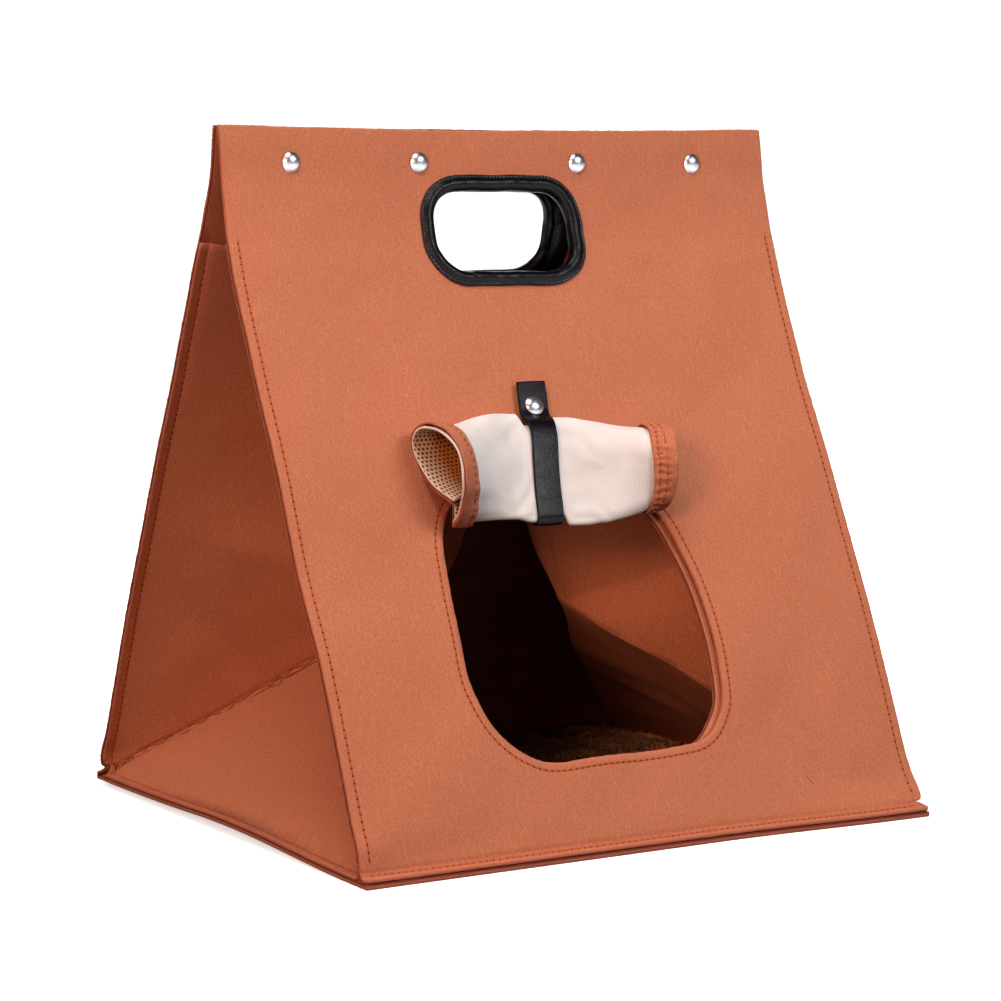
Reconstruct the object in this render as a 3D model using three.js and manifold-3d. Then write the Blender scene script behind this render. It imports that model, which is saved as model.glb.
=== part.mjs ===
// A felt pet tent that is also a carrier. Two felt panels lean together and snap shut along the top, with
// a bound hand slot through both. The sides are felt gussets folded inwards like those of a paper bag, the
// floor is felt with a plush mat, and the door's mesh flap is rolled up under a strap.
// Millimetres, +Z up, the front towards -Y. The origin is the middle of the floor, on the ground.
import * as THREE from "three";
import { mergeVertices } from "three/addons/utils/BufferGeometryUtils.js";
import Module from "manifold-3d";

// Whole tent
const WIDTH = 400;
const DEPTH = 370;
const FELT = 3.6;
const LAYER_GAP = 0.4;
const SEAM = 8;
const FRONT = -1;
const BACK = 1;
const PLUG_REACH = 5;

// Middle of a panel's thickness, seen from the side: distance from the tent's middle plane and height.
// The first rows are the flange that is sewn to the floor, the last ones stand upright at the snaps.
const PANEL_SIDE_VIEW = [
  { out: 184.8, up: 5.8 },
  { out: 180.5, up: 5.8 },
  { out: 177.2, up: 7.6 },
  { out: 175.2, up: 12 },
  { out: 171.5, up: 24 },
  { out: 150.8, up: 77 },
  { out: 130.2, up: 125 },
  { out: 106.8, up: 174 },
  { out: 83.0, up: 224 },
  { out: 61.1, up: 266 },
  { out: 46.4, up: 297 },
  { out: 33.9, up: 323 },
  { out: 25.1, up: 343.5 },
  { out: 17.7, up: 361 },
  { out: 10.4, up: 381.5 },
  { out: 6.1, up: 393.5 },
  { out: 5.1, up: 398 },
  { out: 5.1, up: 410 },
  { out: 4.1, up: 417 },
  { out: 2.7, up: 424 },
];
// How far each panel hangs in at its middle, between the sewn side edges
const SAG = 10;
const SAG_BOTTOM = 12;
const SAG_TOP = 400;
const SAG_EASE = 1.5;
const PANEL_COLUMNS = 12;
// Distances along a panel from its lower raw edge, where its sheet and the gussets' sheets bend
const CORNER_ROW = 9;
const LOWEST_GUSSET_ROW = 15;
const FOLD_ROW = 195;
const HIGHEST_GUSSET_ROW = 386;
const PANEL_ROWS = [
  0, 4.5, 8, 11, LOWEST_GUSSET_ROW, 24, 42, 70, 100, 130, 160, FOLD_ROW, 225, 255, 285, 310, 332, 352, 370,
  HIGHEST_GUSSET_ROW, 404, 420, 430, 435, 451, 458,
];

// Floor: the gussets pull its side edges up a little
const LIFT_START = 150;
const LIFT_FADE = 60;
const FLOOR_COLUMNS = [-200, -188, -172, -LIFT_START, -75, 0, 75, LIFT_START, 172, 188, 200];
const FLOOR_ROWS = 12;

// Gussets: the fold rises from the floor's corners to the meeting point, then up the ridge
const FOLD_RADIUS = 3.2;
const FOLD_BLEND = 45;
const CORNER_DEPTH = 172.5;
const GUSSETS = [
  { name: "gusset_left", side: -1, lift: 4.5, meeting: { x: 45, up: 125 } },
  { name: "gusset_right", side: 1, lift: 2.5, meeting: { x: 44, up: 123 } },
];
const RIDGE = [
  { x: 22, up: 174 },
  { x: 9.5, up: 232 },
  { x: 6, up: 290 },
  { x: 6.5, up: 322 },
];
const SIDE_COLUMNS = [0.3, 0.6, 0.85];
const MIDDLE_COLUMNS = [-1, -2 / 3, -1 / 3, 0, 1 / 3, 2 / 3, 1];

// Door: its outline on the front panel, across and up
const DOOR = [
  { x: -26, up: 52.3 },
  { x: 25, up: 53.1 },
  { x: 48.6, up: 57 },
  { x: 65.6, up: 73 },
  { x: 71.1, up: 90 },
  { x: 73.3, up: 131.8 },
  { x: 67.9, up: 162.3 },
  { x: 59.4, up: 185.4 },
  { x: 44, up: 201 },
  { x: 0, up: 206 },
  { x: -50, up: 205.5 },
  { x: -86, up: 201 },
  { x: -98, up: 184.6 },
  { x: -102.4, up: 155.6 },
  { x: -104.8, up: 123.9 },
  { x: -105.1, up: 99 },
  { x: -94.3, up: 72.1 },
  { x: -69.3, up: 53.6 },
];
const DOOR_STEPS = 48;
const FACING_WIDTH = 17;
const FACING = 3;
const FACING_INSET = 0.3;

// Hand slot, the same in both panels
const SLOT_X = -7.5;
const SLOT_MIDDLE_ROW = 395;
const SLOT_LENGTH = 103;
const SLOT_HEIGHT = 57.5;
const SLOT_CORNER = 25;
const SLOT_STEPS = 32;
// Section of the binding around the felt's edge: from the edge into the felt, and out of its outer face
const BINDING_SECTION = [
  { away: 8, out: 0.4 },
  { away: 8.3, out: 1.4 },
  { away: 5.5, out: 2.9 },
  { away: 1, out: 2.9 },
  { away: -2, out: 0.9 },
  { away: -2.7, out: -1.8 },
  { away: -2, out: -4.5 },
  { away: 1, out: -6.3 },
  { away: 5.5, out: -6.3 },
  { away: 8.3, out: -5 },
  { away: 8, out: -4 },
  { away: -0.4, out: -4 },
  { away: -0.4, out: 0.4 },
];

// Top snaps
const SNAP_UP = 403.5;
const SNAPS_X = [-152, -62.5, 52.5, 143];
const POST_RADIUS = 2;
const POST_HOLE = 2.6;
const LATHE_STEPS = 12;
const RIM = 0.5;
// A snap half: cap above the cloth, socket or stud below it. nub is how far the stud stands out of its
// plate, or the socket's mouth goes in if it is negative.
const PANEL_CAP = { radius: 6.5, dome: 3.2, cloth: FELT, below: 2.4, belowRadius: 5.6 };
const PANEL_SOCKET = { ...PANEL_CAP, mouth: 2.4, nub: -1.5 };
const PANEL_STUD = { ...PANEL_CAP, mouth: 1.8, nub: 1.2 };

// Rolled flap, seen from the end at three places: distance out of the panel and height of each bend of the
// mesh, from its sewn edge down, up in front, over the top and behind to its free edge. At the two ends x
// says how far across the bend lies. The same row of each table is the same place of the mesh.
const MESH = 1.5;
const CURL_LEFT = [
  { x: -94, out: 3.4, up: 214 },
  { x: -94, out: 3.6, up: 201 },
  { x: -94, out: 5, up: 191 },
  { x: -95, out: 8, up: 189.4 },
  { x: -95, out: 11.5, up: 192.6 },
  { x: -95, out: 18.9, up: 201 },
  { x: -97, out: 34, up: 216.5 },
  { x: -98, out: 39.5, up: 232.5 },
  { x: -100, out: 36, up: 240.5 },
  { x: -103, out: 27.5, up: 245 },
  { x: -107, out: 13, up: 241.4 },
  { x: -108, out: 5.2, up: 230.5 },
  { x: -106, out: 6.8, up: 222.5 },
  { x: -101, out: 16, up: 211.8 },
  { x: -99, out: 21, up: 208 },
];
const CURL_UNDER_STRAP = [
  { out: 1.7, up: 216 },
  { out: 1.8, up: 200 },
  { out: 2.3, up: 189 },
  { out: 4.4, up: 186.6 },
  { out: 6.4, up: 190 },
  { out: 7.2, up: 203 },
  { out: 9.2, up: 219 },
  { out: 11, up: 233 },
  { out: 10.3, up: 238.8 },
  { out: 7.8, up: 241 },
  { out: 4.3, up: 238 },
  { out: 2.9, up: 230 },
  { out: 3.4, up: 223 },
  { out: 4.5, up: 214.5 },
  { out: 4.8, up: 210 },
];
const CURL_RIGHT = [
  { x: 53, out: 3.4, up: 213 },
  { x: 53, out: 3.6, up: 200 },
  { x: 54, out: 5, up: 191 },
  { x: 54, out: 8, up: 188.4 },
  { x: 54, out: 13.5, up: 189.5 },
  { x: 54, out: 24, up: 193 },
  { x: 54, out: 34.5, up: 209 },
  { x: 54, out: 42.5, up: 228 },
  { x: 55, out: 44.5, up: 237 },
  { x: 57, out: 37, up: 241 },
  { x: 60, out: 19, up: 238.6 },
  { x: 62, out: 7, up: 229 },
  { x: 61, out: 8, up: 220 },
  { x: 58, out: 16, up: 210.6 },
  { x: 56, out: 21.5, up: 207 },
];
const FLAP_ROWS = 26;
const FLAP_COLUMNS = 12;
const BAND = 1.6;
const BAND_GAP = 0.3;
const BAND_WIDTH = 13;
const PINCH_X = -19;
const PINCH_MARGIN = 5;
const PINCH_EASE = 1.2;

// Strap: its middle line from the free tab, over the roll and under it to its sewn end inside
const STRAP = 2;
const STRAP_WIDTH = 20;
const STRAP_ROUTE = [
  { x: -11.5, out: 5.2, up: 266.5 },
  { x: -12.6, out: 5.6, up: 260 },
  { x: -13.6, out: 5.6, up: 254 },
  { x: -14.6, out: 5.7, up: 248.6 },
  { x: -15.1, out: 7.4, up: 245.6 },
  { x: -15.7, out: 10.8, up: 244.5 },
  { x: -16.2, out: 13.4, up: 241.8 },
  { x: -17.2, out: 14, up: 234 },
  { x: -18.6, out: 12.4, up: 224.5 },
  { x: -20, out: 10.9, up: 214 },
  { x: -21.3, out: 9.7, up: 203 },
  { x: -22.4, out: 9, up: 192 },
  { x: -22.8, out: 7.8, up: 187 },
  { x: -23, out: 4.6, up: 183.9 },
  { x: -23, out: 0.5, up: 184 },
  { x: -23, out: -4, up: 188 },
  { x: -23, out: -8, up: 195.5 },
  { x: -23, out: -10.4, up: 205 },
  { x: -23, out: -10.6, up: 221 },
];
const STRAP_STEPS = 40;
const STRAP_CAP = { radius: 6.3, dome: 2.8, cloth: STRAP, below: 1.2, belowRadius: 4.4, mouth: 2.4, nub: -0.8 };
const STRAP_BASE = { radius: 4.4, dome: 1, cloth: FELT, below: 1, belowRadius: 4.6, mouth: 2.4, nub: 0 };
const STRAP_SNAP_UP = 252.6;

// Mat
const MAT = { length: 296, depth: 236, height: 18, corner: 30, rounding: 6, x: 8, y: 4, turn: -0.05 };

const FELT_COLOUR = 0xc97554;
const LEATHER_COLOUR = 0x2b2a33;
const MESH_COLOUR = 0xe4d3cd;
const NICKEL_COLOUR = 0xc8c4c0;
const PLUSH_COLOUR = 0xb9975e;
const felt = new THREE.MeshStandardMaterial({ color: FELT_COLOUR, roughness: 0.95, metalness: 0 });
const leather = new THREE.MeshStandardMaterial({ color: LEATHER_COLOUR, roughness: 0.45, metalness: 0 });
const mesh = new THREE.MeshStandardMaterial({ color: MESH_COLOUR, roughness: 0.85, metalness: 0 });
const nickel = new THREE.MeshStandardMaterial({ color: NICKEL_COLOUR, roughness: 0.2, metalness: 1 });
const plush = new THREE.MeshStandardMaterial({ color: PLUSH_COLOUR, roughness: 1, metalness: 0 });

const wasm = await Module();
wasm.setup();

const root = new THREE.Group();

function add(name, geometry, material) {
  const piece = new THREE.Mesh(geometry, material);
  piece.name = name;
  root.add(piece);
  return piece;
}

// Geometry

// A closed surface from points and triangles, turned so that its faces point outwards.
function closedSurface(points, triangles) {
  let volume = 0;
  for (const [a, b, c] of triangles) {
    volume += points[a].dot(new THREE.Vector3().crossVectors(points[b], points[c]));
  }
  const ordered = volume < 0 ? triangles.map(([a, b, c]) => [a, c, b]) : triangles;
  const geometry = new THREE.BufferGeometry().setFromPoints(points);
  geometry.setIndex(ordered.flat());
  geometry.computeVertexNormals();
  return geometry;
}

// A sheet between two skins of a grid. skins(row, column) gives the outer and the inner point, and
// has(row, column) says whether the cell from that corner is part of the sheet.
function sheet(rows, columns, skins, has = () => true) {
  const points = [];
  const index = new Map();
  const corner = (row, column, skin) => {
    const key = `${row},${column},${skin}`;
    if (!index.has(key)) {
      index.set(key, points.length);
      points.push(skins(row, column)[skin]);
    }
    return index.get(key);
  };
  const triangles = [];
  const quad = (a, b, c, d) => triangles.push([a, b, c], [a, c, d]);
  const cell = (row, column) =>
    row >= 0 && column >= 0 && row < rows - 1 && column < columns - 1 && has(row, column);
  for (let row = 0; row < rows - 1; row++) {
    for (let column = 0; column < columns - 1; column++) {
      if (!cell(row, column)) continue;
      const around = [
        { at: [row, column], across: [row - 1, column] },
        { at: [row, column + 1], across: [row, column + 1] },
        { at: [row + 1, column + 1], across: [row + 1, column] },
        { at: [row + 1, column], across: [row, column - 1] },
      ];
      const [p, q, r, s] = around.map(({ at }) => corner(...at, 0));
      const [P, Q, R, S] = around.map(({ at }) => corner(...at, 1));
      quad(p, q, r, s);
      quad(S, R, Q, P);
      around.forEach(({ at, across }, side) => {
        if (cell(...across)) return;
        const next = around[(side + 1) % 4].at;
        quad(corner(...next, 0), corner(...at, 0), corner(...at, 1), corner(...next, 1));
      });
    }
  }
  return closedSurface(points, triangles);
}

// Both skins of a grid of middle points, set apart along the grid's own normals.
function skinsOf(grid, thickness, shift = 0) {
  const at = (row, column) => (grid[row] ? grid[row][column] : undefined);
  return (row, column) => {
    const here = at(row, column);
    const span = (next, last) => new THREE.Vector3().subVectors(next ?? here, last ?? here);
    const along = span(at(row + 1, column), at(row - 1, column));
    const across = span(at(row, column + 1), at(row, column - 1));
    const normal = new THREE.Vector3().crossVectors(across, along).normalize();
    return [
      here.clone().addScaledVector(normal, shift + thickness / 2),
      here.clone().addScaledVector(normal, shift - thickness / 2),
    ];
  };
}

// A closed ring: vertex(step, corner) with both numbers running round.
function ring(steps, corners, vertex) {
  const points = [];
  const triangles = [];
  for (let step = 0; step < steps; step++) {
    for (let corner = 0; corner < corners; corner++) {
      points.push(vertex(step, corner));
      const a = step * corners + corner;
      const b = ((step + 1) % steps) * corners + corner;
      const c = ((step + 1) % steps) * corners + ((corner + 1) % corners);
      const d = step * corners + ((corner + 1) % corners);
      triangles.push([a, b, c], [a, c, d]);
    }
  }
  return closedSurface(points, triangles);
}

function toSolid(geometry) {
  const bare = geometry.clone();
  bare.deleteAttribute("normal");
  bare.deleteAttribute("uv");
  const merged = mergeVertices(bare, 1e-3);
  return new wasm.Manifold(
    new wasm.Mesh({
      numProp: 3,
      vertProperties: merged.attributes.position.array,
      triVerts: new Uint32Array(merged.index.array),
    }),
  );
}

function cut(geometry, cutters) {
  let solid = toSolid(geometry);
  for (const cutter of cutters) solid = solid.subtract(toSolid(cutter));
  const made = solid.getMesh();
  const result = new THREE.BufferGeometry();
  result.setAttribute("position", new THREE.BufferAttribute(made.vertProperties, 3));
  result.setIndex(new THREE.BufferAttribute(made.triVerts, 1));
  return result;
}

function smooth(t) {
  const clamped = THREE.MathUtils.clamp(t, 0, 1);
  return clamped * clamped * (3 - 2 * clamped);
}

// Panels

const sideView = new THREE.CatmullRomCurve3(
  PANEL_SIDE_VIEW.map(({ out, up }) => new THREE.Vector3(out, up, 0)),
  false,
  "centripetal",
);
sideView.arcLengthDivisions = 1200;
const PANEL_LENGTH = sideView.getLength();

function sagAt(x, up) {
  const across = Math.max(0, 1 - (x / (WIDTH / 2)) ** 2) ** SAG_EASE;
  const height = THREE.MathUtils.clamp((up - SAG_BOTTOM) / (SAG_TOP - SAG_BOTTOM), 0, 1);
  return SAG * Math.sin(Math.PI * height) * across;
}

// A point of a panel: across, along from the lower raw edge, and out of its outer face along its normal.
function panelPoint(x, along, out, side) {
  const share = THREE.MathUtils.clamp(along / PANEL_LENGTH, 0, 1);
  const middle = sideView.getPointAt(share);
  const tangent = sideView.getTangentAt(share);
  const shift = FELT / 2 + out - sagAt(x, middle.y);
  return new THREE.Vector3(
    x,
    side * (middle.x + tangent.y * shift),
    middle.y - tangent.x * shift,
  );
}

// Where the outer face of the front panel is at a height: how far along the panel.
function alongAtHeight(x, up) {
  let low = LOWEST_GUSSET_ROW;
  let high = PANEL_LENGTH;
  while (high - low > 0.01) {
    const along = (low + high) / 2;
    if (panelPoint(x, along, 0, FRONT).z < up) low = along;
    else high = along;
  }
  return low;
}

// A point in front of the front panel, level with its height on the outer face.
function frontPoint(x, out, up) {
  const face = panelPoint(x, alongAtHeight(x, up), 0, FRONT);
  return new THREE.Vector3(x, face.y - out, up);
}

// A flat loop on a panel with the direction away from it at each point.
function loopOf(points) {
  return points.map((point, i) => {
    const next = points[(i + 1) % points.length];
    const last = points[(i + points.length - 1) % points.length];
    const direction = new THREE.Vector2().subVectors(next, last).normalize();
    return { x: point.x, along: point.y, awayX: direction.y, awayAlong: -direction.x };
  });
}

function slotLoop() {
  const shape = new THREE.Shape();
  const right = SLOT_LENGTH / 2 - SLOT_CORNER;
  const top = SLOT_HEIGHT / 2 - SLOT_CORNER;
  shape.absarc(right, -top, SLOT_CORNER, -Math.PI / 2, 0);
  shape.absarc(right, top, SLOT_CORNER, 0, Math.PI / 2);
  shape.absarc(-right, top, SLOT_CORNER, Math.PI / 2, Math.PI);
  shape.absarc(-right, -top, SLOT_CORNER, Math.PI, 1.5 * Math.PI);
  shape.closePath();
  const points = shape.getSpacedPoints(SLOT_STEPS).slice(0, SLOT_STEPS);
  return loopOf(points.map((p) => new THREE.Vector2(p.x + SLOT_X, p.y + SLOT_MIDDLE_ROW)));
}

function doorLoop() {
  const curve = new THREE.CatmullRomCurve3(
    DOOR.map(({ x, up }) => new THREE.Vector3(x, alongAtHeight(x, up), 0)),
    true,
    "centripetal",
  );
  const points = curve.getSpacedPoints(DOOR_STEPS).slice(0, DOOR_STEPS);
  return loopOf(points.map((p) => new THREE.Vector2(p.x, p.y)));
}

// A plug through a panel inside a loop, for cutting.
function plug(loop, side) {
  const caps = [PLUG_REACH, -FELT - PLUG_REACH];
  const points = [];
  const triangles = [];
  const steps = loop.length;
  for (const out of caps) {
    for (const { x, along } of loop) points.push(panelPoint(x, along, out, side));
  }
  const centres = caps.map((out, cap) => {
    const middle = new THREE.Vector3();
    for (let i = 0; i < steps; i++) middle.addScaledVector(points[cap * steps + i], 1 / steps);
    return points.push(middle) - 1;
  });
  for (let i = 0; i < steps; i++) {
    const j = (i + 1) % steps;
    triangles.push([i, j, steps + j], [i, steps + j, steps + i]);
    triangles.push([j, i, centres[0]], [steps + i, steps + j, centres[1]]);
  }
  return closedSurface(points, triangles);
}

function rod(place, direction) {
  const geometry = new THREE.CylinderGeometry(POST_HOLE, POST_HOLE, 2 * (FELT + PLUG_REACH), LATHE_STEPS);
  geometry.applyQuaternion(new THREE.Quaternion().setFromUnitVectors(THREE.Object3D.DEFAULT_UP, direction));
  geometry.translate(place.x, place.y, place.z);
  return geometry;
}

const panelRows = [...PANEL_ROWS, PANEL_LENGTH];

function panelSheet(side) {
  return sheet(panelRows.length, PANEL_COLUMNS + 1, (row, column) => {
    const x = (column / PANEL_COLUMNS - 0.5) * WIDTH;
    return [panelPoint(x, panelRows[row], 0, side), panelPoint(x, panelRows[row], -FELT, side)];
  });
}

const slot = slotLoop();
const door = doorLoop();

function snapPlace(x, side) {
  const along = alongAtHeight(x, SNAP_UP);
  return { place: panelPoint(x, along, 0, side), direction: new THREE.Vector3(0, side, 0) };
}

// Lathed snap halves, their axis pointing out of the felt from its outer face

function lathe(profile) {
  return new THREE.LatheGeometry(
    profile.map(([radius, height]) => new THREE.Vector2(radius, height)),
    LATHE_STEPS,
  );
}

// A snap half on its axis, from the middle of its inner face round to the middle of its cap.
function snapHalf({ radius, dome, cloth, below, belowRadius, mouth, nub }) {
  const plate = -cloth - LAYER_GAP;
  const face = plate - below;
  return lathe([
    [0, face - nub],
    [mouth - RIM / 2, face - nub],
    [mouth, face],
    [belowRadius - RIM, face],
    [belowRadius, face + RIM],
    [belowRadius, plate],
    [POST_RADIUS, plate],
    [POST_RADIUS, LAYER_GAP],
    [radius - RIM, LAYER_GAP],
    [radius, LAYER_GAP + RIM],
    [radius * 0.86, LAYER_GAP + dome * 0.62],
    [radius * 0.5, LAYER_GAP + dome * 0.92],
    [0, LAYER_GAP + dome],
  ]);
}

function setSnap(name, geometry, place, direction) {
  const piece = add(name, geometry, nickel);
  piece.position.copy(place);
  piece.quaternion.setFromUnitVectors(THREE.Object3D.DEFAULT_UP, direction);
}

// Strap: a ribbon along its route

const strapCurve = new THREE.CatmullRomCurve3(
  STRAP_ROUTE.map(({ x, out, up }) => frontPoint(x, out, up)),
  false,
  "centripetal",
);

const strapSnap = (() => {
  let share = 0;
  while (strapCurve.getPointAt(share).z > STRAP_SNAP_UP) share += 0.001;
  const middle = strapCurve.getPointAt(share);
  const along = alongAtHeight(middle.x, middle.z - STRAP);
  const face = panelPoint(middle.x, along, 0, FRONT);
  const direction = panelPoint(middle.x, along, 1, FRONT).sub(face).normalize();
  const height = new THREE.Vector3().subVectors(middle, face).dot(direction);
  return { face, direction, strapMiddle: face.clone().addScaledVector(direction, height) };
})();

function strapSheet() {
  const across = new THREE.Vector3(1, 0, 0);
  const shares = Array.from({ length: STRAP_STEPS + 1 }, (_, i) => i / STRAP_STEPS);
  return sheet(shares.length, 3, (row, column) => {
    const middle = strapCurve.getPointAt(shares[row]);
    const tangent = strapCurve.getTangentAt(shares[row]);
    const normal = new THREE.Vector3().crossVectors(tangent, across).normalize();
    const place = middle.addScaledVector(across, (column - 1) * (STRAP_WIDTH / 2));
    return [
      place.clone().addScaledVector(normal, STRAP / 2),
      place.clone().addScaledVector(normal, -STRAP / 2),
    ];
  });
}

// Flap: the curl changes from the left end through the strap's pinch to the right end

const curlCurve = (rows) =>
  new THREE.CatmullRomCurve3(
    rows.map(({ x, out, up }) => new THREE.Vector3(x ?? PINCH_X, out, up)),
    false,
    "centripetal",
  );
const leftCurl = curlCurve(CURL_LEFT);
const strapCurl = curlCurve(CURL_UNDER_STRAP);
const rightCurl = curlCurve(CURL_RIGHT);
const PINCH_HALF = STRAP_WIDTH / 2 + PINCH_MARGIN;

function flapPoint(share, across) {
  const left = leftCurl.getPoint(share);
  const right = rightCurl.getPoint(share);
  const x = THREE.MathUtils.lerp(left.x, right.x, across);
  const end = x < PINCH_X ? left : right;
  const away = Math.max(0, Math.abs(x - PINCH_X) - PINCH_HALF);
  const open = Math.min(1, away / (Math.abs(end.x - PINCH_X) - PINCH_HALF));
  const place = strapCurl.getPoint(share).lerp(end, Math.sin((open * Math.PI) / 2) ** PINCH_EASE);
  return frontPoint(x, place.y, place.z);
}

function flapGrid(columns) {
  return Array.from({ length: FLAP_ROWS + 1 }, (_, row) =>
    columns.map((across) => flapPoint(row / FLAP_ROWS, across)),
  );
}

function evenly(from, to, steps) {
  return Array.from({ length: steps + 1 }, (_, i) => from + ((to - from) * i) / steps);
}

const FLAP_WIDTH = CURL_RIGHT[0].x - CURL_LEFT[0].x;
const BAND_SHARE = BAND_WIDTH / FLAP_WIDTH;
const BAND_SHIFT = MESH / 2 + BAND_GAP + BAND / 2;

// Gussets

function liftAt(x, y, most) {
  const ramp = THREE.MathUtils.clamp((Math.abs(x) - LIFT_START) / (WIDTH / 2 - LIFT_START), 0, 1);
  const along = Math.cos((Math.PI * THREE.MathUtils.clamp(y / (DEPTH / 2), -1, 1)) / 2);
  return most * ramp ** 2 * along ** 2;
}

function gussetGrid({ side, lift, meeting }) {
  const seamX = WIDTH / 2 - SEAM;
  const flangeUp = FELT + LAYER_GAP + FELT / 2;
  const corner = new THREE.Vector3(seamX, CORNER_DEPTH, flangeUp + LAYER_GAP);
  const peak = new THREE.Vector3(meeting.x, 0, meeting.up);
  const ridge = new THREE.CatmullRomCurve3([peak, ...RIDGE.map(({ x, up }) => new THREE.Vector3(x, 0, up))]);
  const folded = FOLD_ROW - CORNER_ROW;
  const sewn = (along, face) => panelPoint(WIDTH / 2, along, -FELT - LAYER_GAP - FELT / 2, face);

  const rowPoints = (along) => {
    const up = along - CORNER_ROW;
    const low = Math.min(1, up / folded);
    const high = (along - FOLD_ROW) / (HIGHEST_GUSSET_ROW - FOLD_ROW);
    const inner = high > 0 ? ridge.getPointAt(high) : corner.clone().lerp(peak, low);
    const half = THREE.MathUtils.lerp(corner.y, FOLD_RADIUS, low);
    const turn = smooth((up - folded + FOLD_BLEND) / FOLD_BLEND);
    const raised = Math.max(0, 1 - up / LIFT_FADE);
    const middle = MIDDLE_COLUMNS.map((m) => {
      const angle = (m * Math.PI) / 2;
      const y = half * THREE.MathUtils.lerp(m, Math.sin(angle), turn);
      const x = inner.x + turn * FOLD_RADIUS * (1 - Math.cos(angle));
      return new THREE.Vector3(x, y, inner.z + raised * liftAt(x, y, lift));
    });
    const face = (where, crease) => {
      const seam = sewn(along, where);
      const edge = new THREE.Vector3(WIDTH / 2, seam.y, seam.z);
      const start = new THREE.Vector3(seamX, seam.y, seam.z);
      return [edge, start, ...SIDE_COLUMNS.map((share) => start.clone().lerp(crease, share))];
    };
    return [...face(FRONT, middle[0]), ...middle, ...face(BACK, middle[middle.length - 1]).reverse()];
  };

  const hemPoints = (x) => {
    const blank = Array(SIDE_COLUMNS.length + 2).fill(undefined);
    const middle = MIDDLE_COLUMNS.map((m) => {
      const y = m * corner.y;
      return new THREE.Vector3(x, y, flangeUp + liftAt(x, y, lift));
    });
    return [...blank, ...middle, ...blank];
  };

  const rows = panelRows.filter((along) => along >= LOWEST_GUSSET_ROW && along <= HIGHEST_GUSSET_ROW);
  const grid = [hemPoints(WIDTH / 2), hemPoints(seamX), ...rows.map(rowPoints)];
  return grid.map((points) => points.map((p) => p && new THREE.Vector3(side * p.x, p.y, p.z)));
}

function gussetSheet(gusset) {
  const grid = gussetGrid(gusset);
  const has = (row, column) => Boolean(grid[row][column] && grid[row][column + 1]);
  return sheet(grid.length, grid[0].length, skinsOf(grid, FELT), has);
}

// Floor and mat

function floorSheet() {
  const ys = evenly(-DEPTH / 2, DEPTH / 2, FLOOR_ROWS);
  const liftOf = (x) => GUSSETS.find(({ side }) => side * x >= 0).lift;
  return sheet(ys.length, FLOOR_COLUMNS.length, (row, column) => {
    const x = FLOOR_COLUMNS[column];
    const rise = liftAt(x, ys[row], liftOf(x));
    return [new THREE.Vector3(x, ys[row], FELT + rise), new THREE.Vector3(x, ys[row], rise)];
  });
}

function matPad() {
  const { length, depth, height, corner, rounding } = MAT;
  const right = length / 2 - rounding - corner;
  const top = depth / 2 - rounding - corner;
  const shape = new THREE.Shape();
  shape.absarc(right, -top, corner, -Math.PI / 2, 0);
  shape.absarc(right, top, corner, 0, Math.PI / 2);
  shape.absarc(-right, top, corner, Math.PI / 2, Math.PI);
  shape.absarc(-right, -top, corner, Math.PI, 1.5 * Math.PI);
  shape.closePath();
  const pad = new THREE.ExtrudeGeometry(shape, {
    depth: height - 2 * rounding,
    bevelThickness: rounding,
    bevelSize: rounding,
    bevelSegments: 2,
    curveSegments: 4,
  });
  return pad.translate(0, 0, rounding);
}

// Assembly

for (const { name, side, loops } of [
  { name: "front", side: FRONT, loops: [slot, door] },
  { name: "back", side: BACK, loops: [slot] },
]) {
  const posts = SNAPS_X.map((x) => {
    const { place, direction } = snapPlace(x, side);
    return rod(place, direction);
  });
  if (side === FRONT) posts.push(rod(strapSnap.face, strapSnap.direction));
  const holes = loops.map((loop) => plug(loop, side));
  add(`${name}_panel`, cut(panelSheet(side), [...holes, ...posts]), felt);

  const binding = ring(SLOT_STEPS, BINDING_SECTION.length, (step, corner) => {
    const { x, along, awayX, awayAlong } = slot[step];
    const { away, out } = BINDING_SECTION[corner];
    return panelPoint(x + awayX * away, along + awayAlong * away, out, side);
  });
  add(`handle_binding_${name}`, binding, leather);
}

const facing = ring(DOOR_STEPS, 4, (step, corner) => {
  const { x, along, awayX, awayAlong } = door[step];
  const away = corner < 2 ? FACING_INSET : FACING_WIDTH;
  const out = corner % 3 === 0 ? -FELT - LAYER_GAP : -FELT - LAYER_GAP - FACING;
  return panelPoint(x + awayX * away, along + awayAlong * away, out, FRONT);
});
add("door_facing", facing, felt);

add("floor_panel", floorSheet(), felt);
for (const gusset of GUSSETS) add(gusset.name, gussetSheet(gusset), felt);

SNAPS_X.forEach((x, i) => {
  for (const { name, side, half } of [
    { name: "front", side: FRONT, half: PANEL_SOCKET },
    { name: "back", side: BACK, half: PANEL_STUD },
  ]) {
    const { place, direction } = snapPlace(x, side);
    setSnap(`snap_${name}_${i + 1}`, snapHalf(half), place, direction);
  }
});

const flapColumns = evenly(0, 1, FLAP_COLUMNS);
add("flap_mesh", sheet(FLAP_ROWS + 1, flapColumns.length, skinsOf(flapGrid(flapColumns), MESH)), mesh);
for (const { name, from } of [
  { name: "flap_band_left", from: 0 },
  { name: "flap_band_right", from: 1 - BAND_SHARE },
]) {
  const columns = evenly(from, from + BAND_SHARE, 2);
  const skins = skinsOf(flapGrid(columns), BAND, BAND_SHIFT);
  add(name, sheet(FLAP_ROWS + 1, columns.length, skins), felt);
}

const strapHole = rod(strapSnap.strapMiddle, strapSnap.direction);
add("strap", cut(strapSheet(), [strapHole]), leather);

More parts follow.
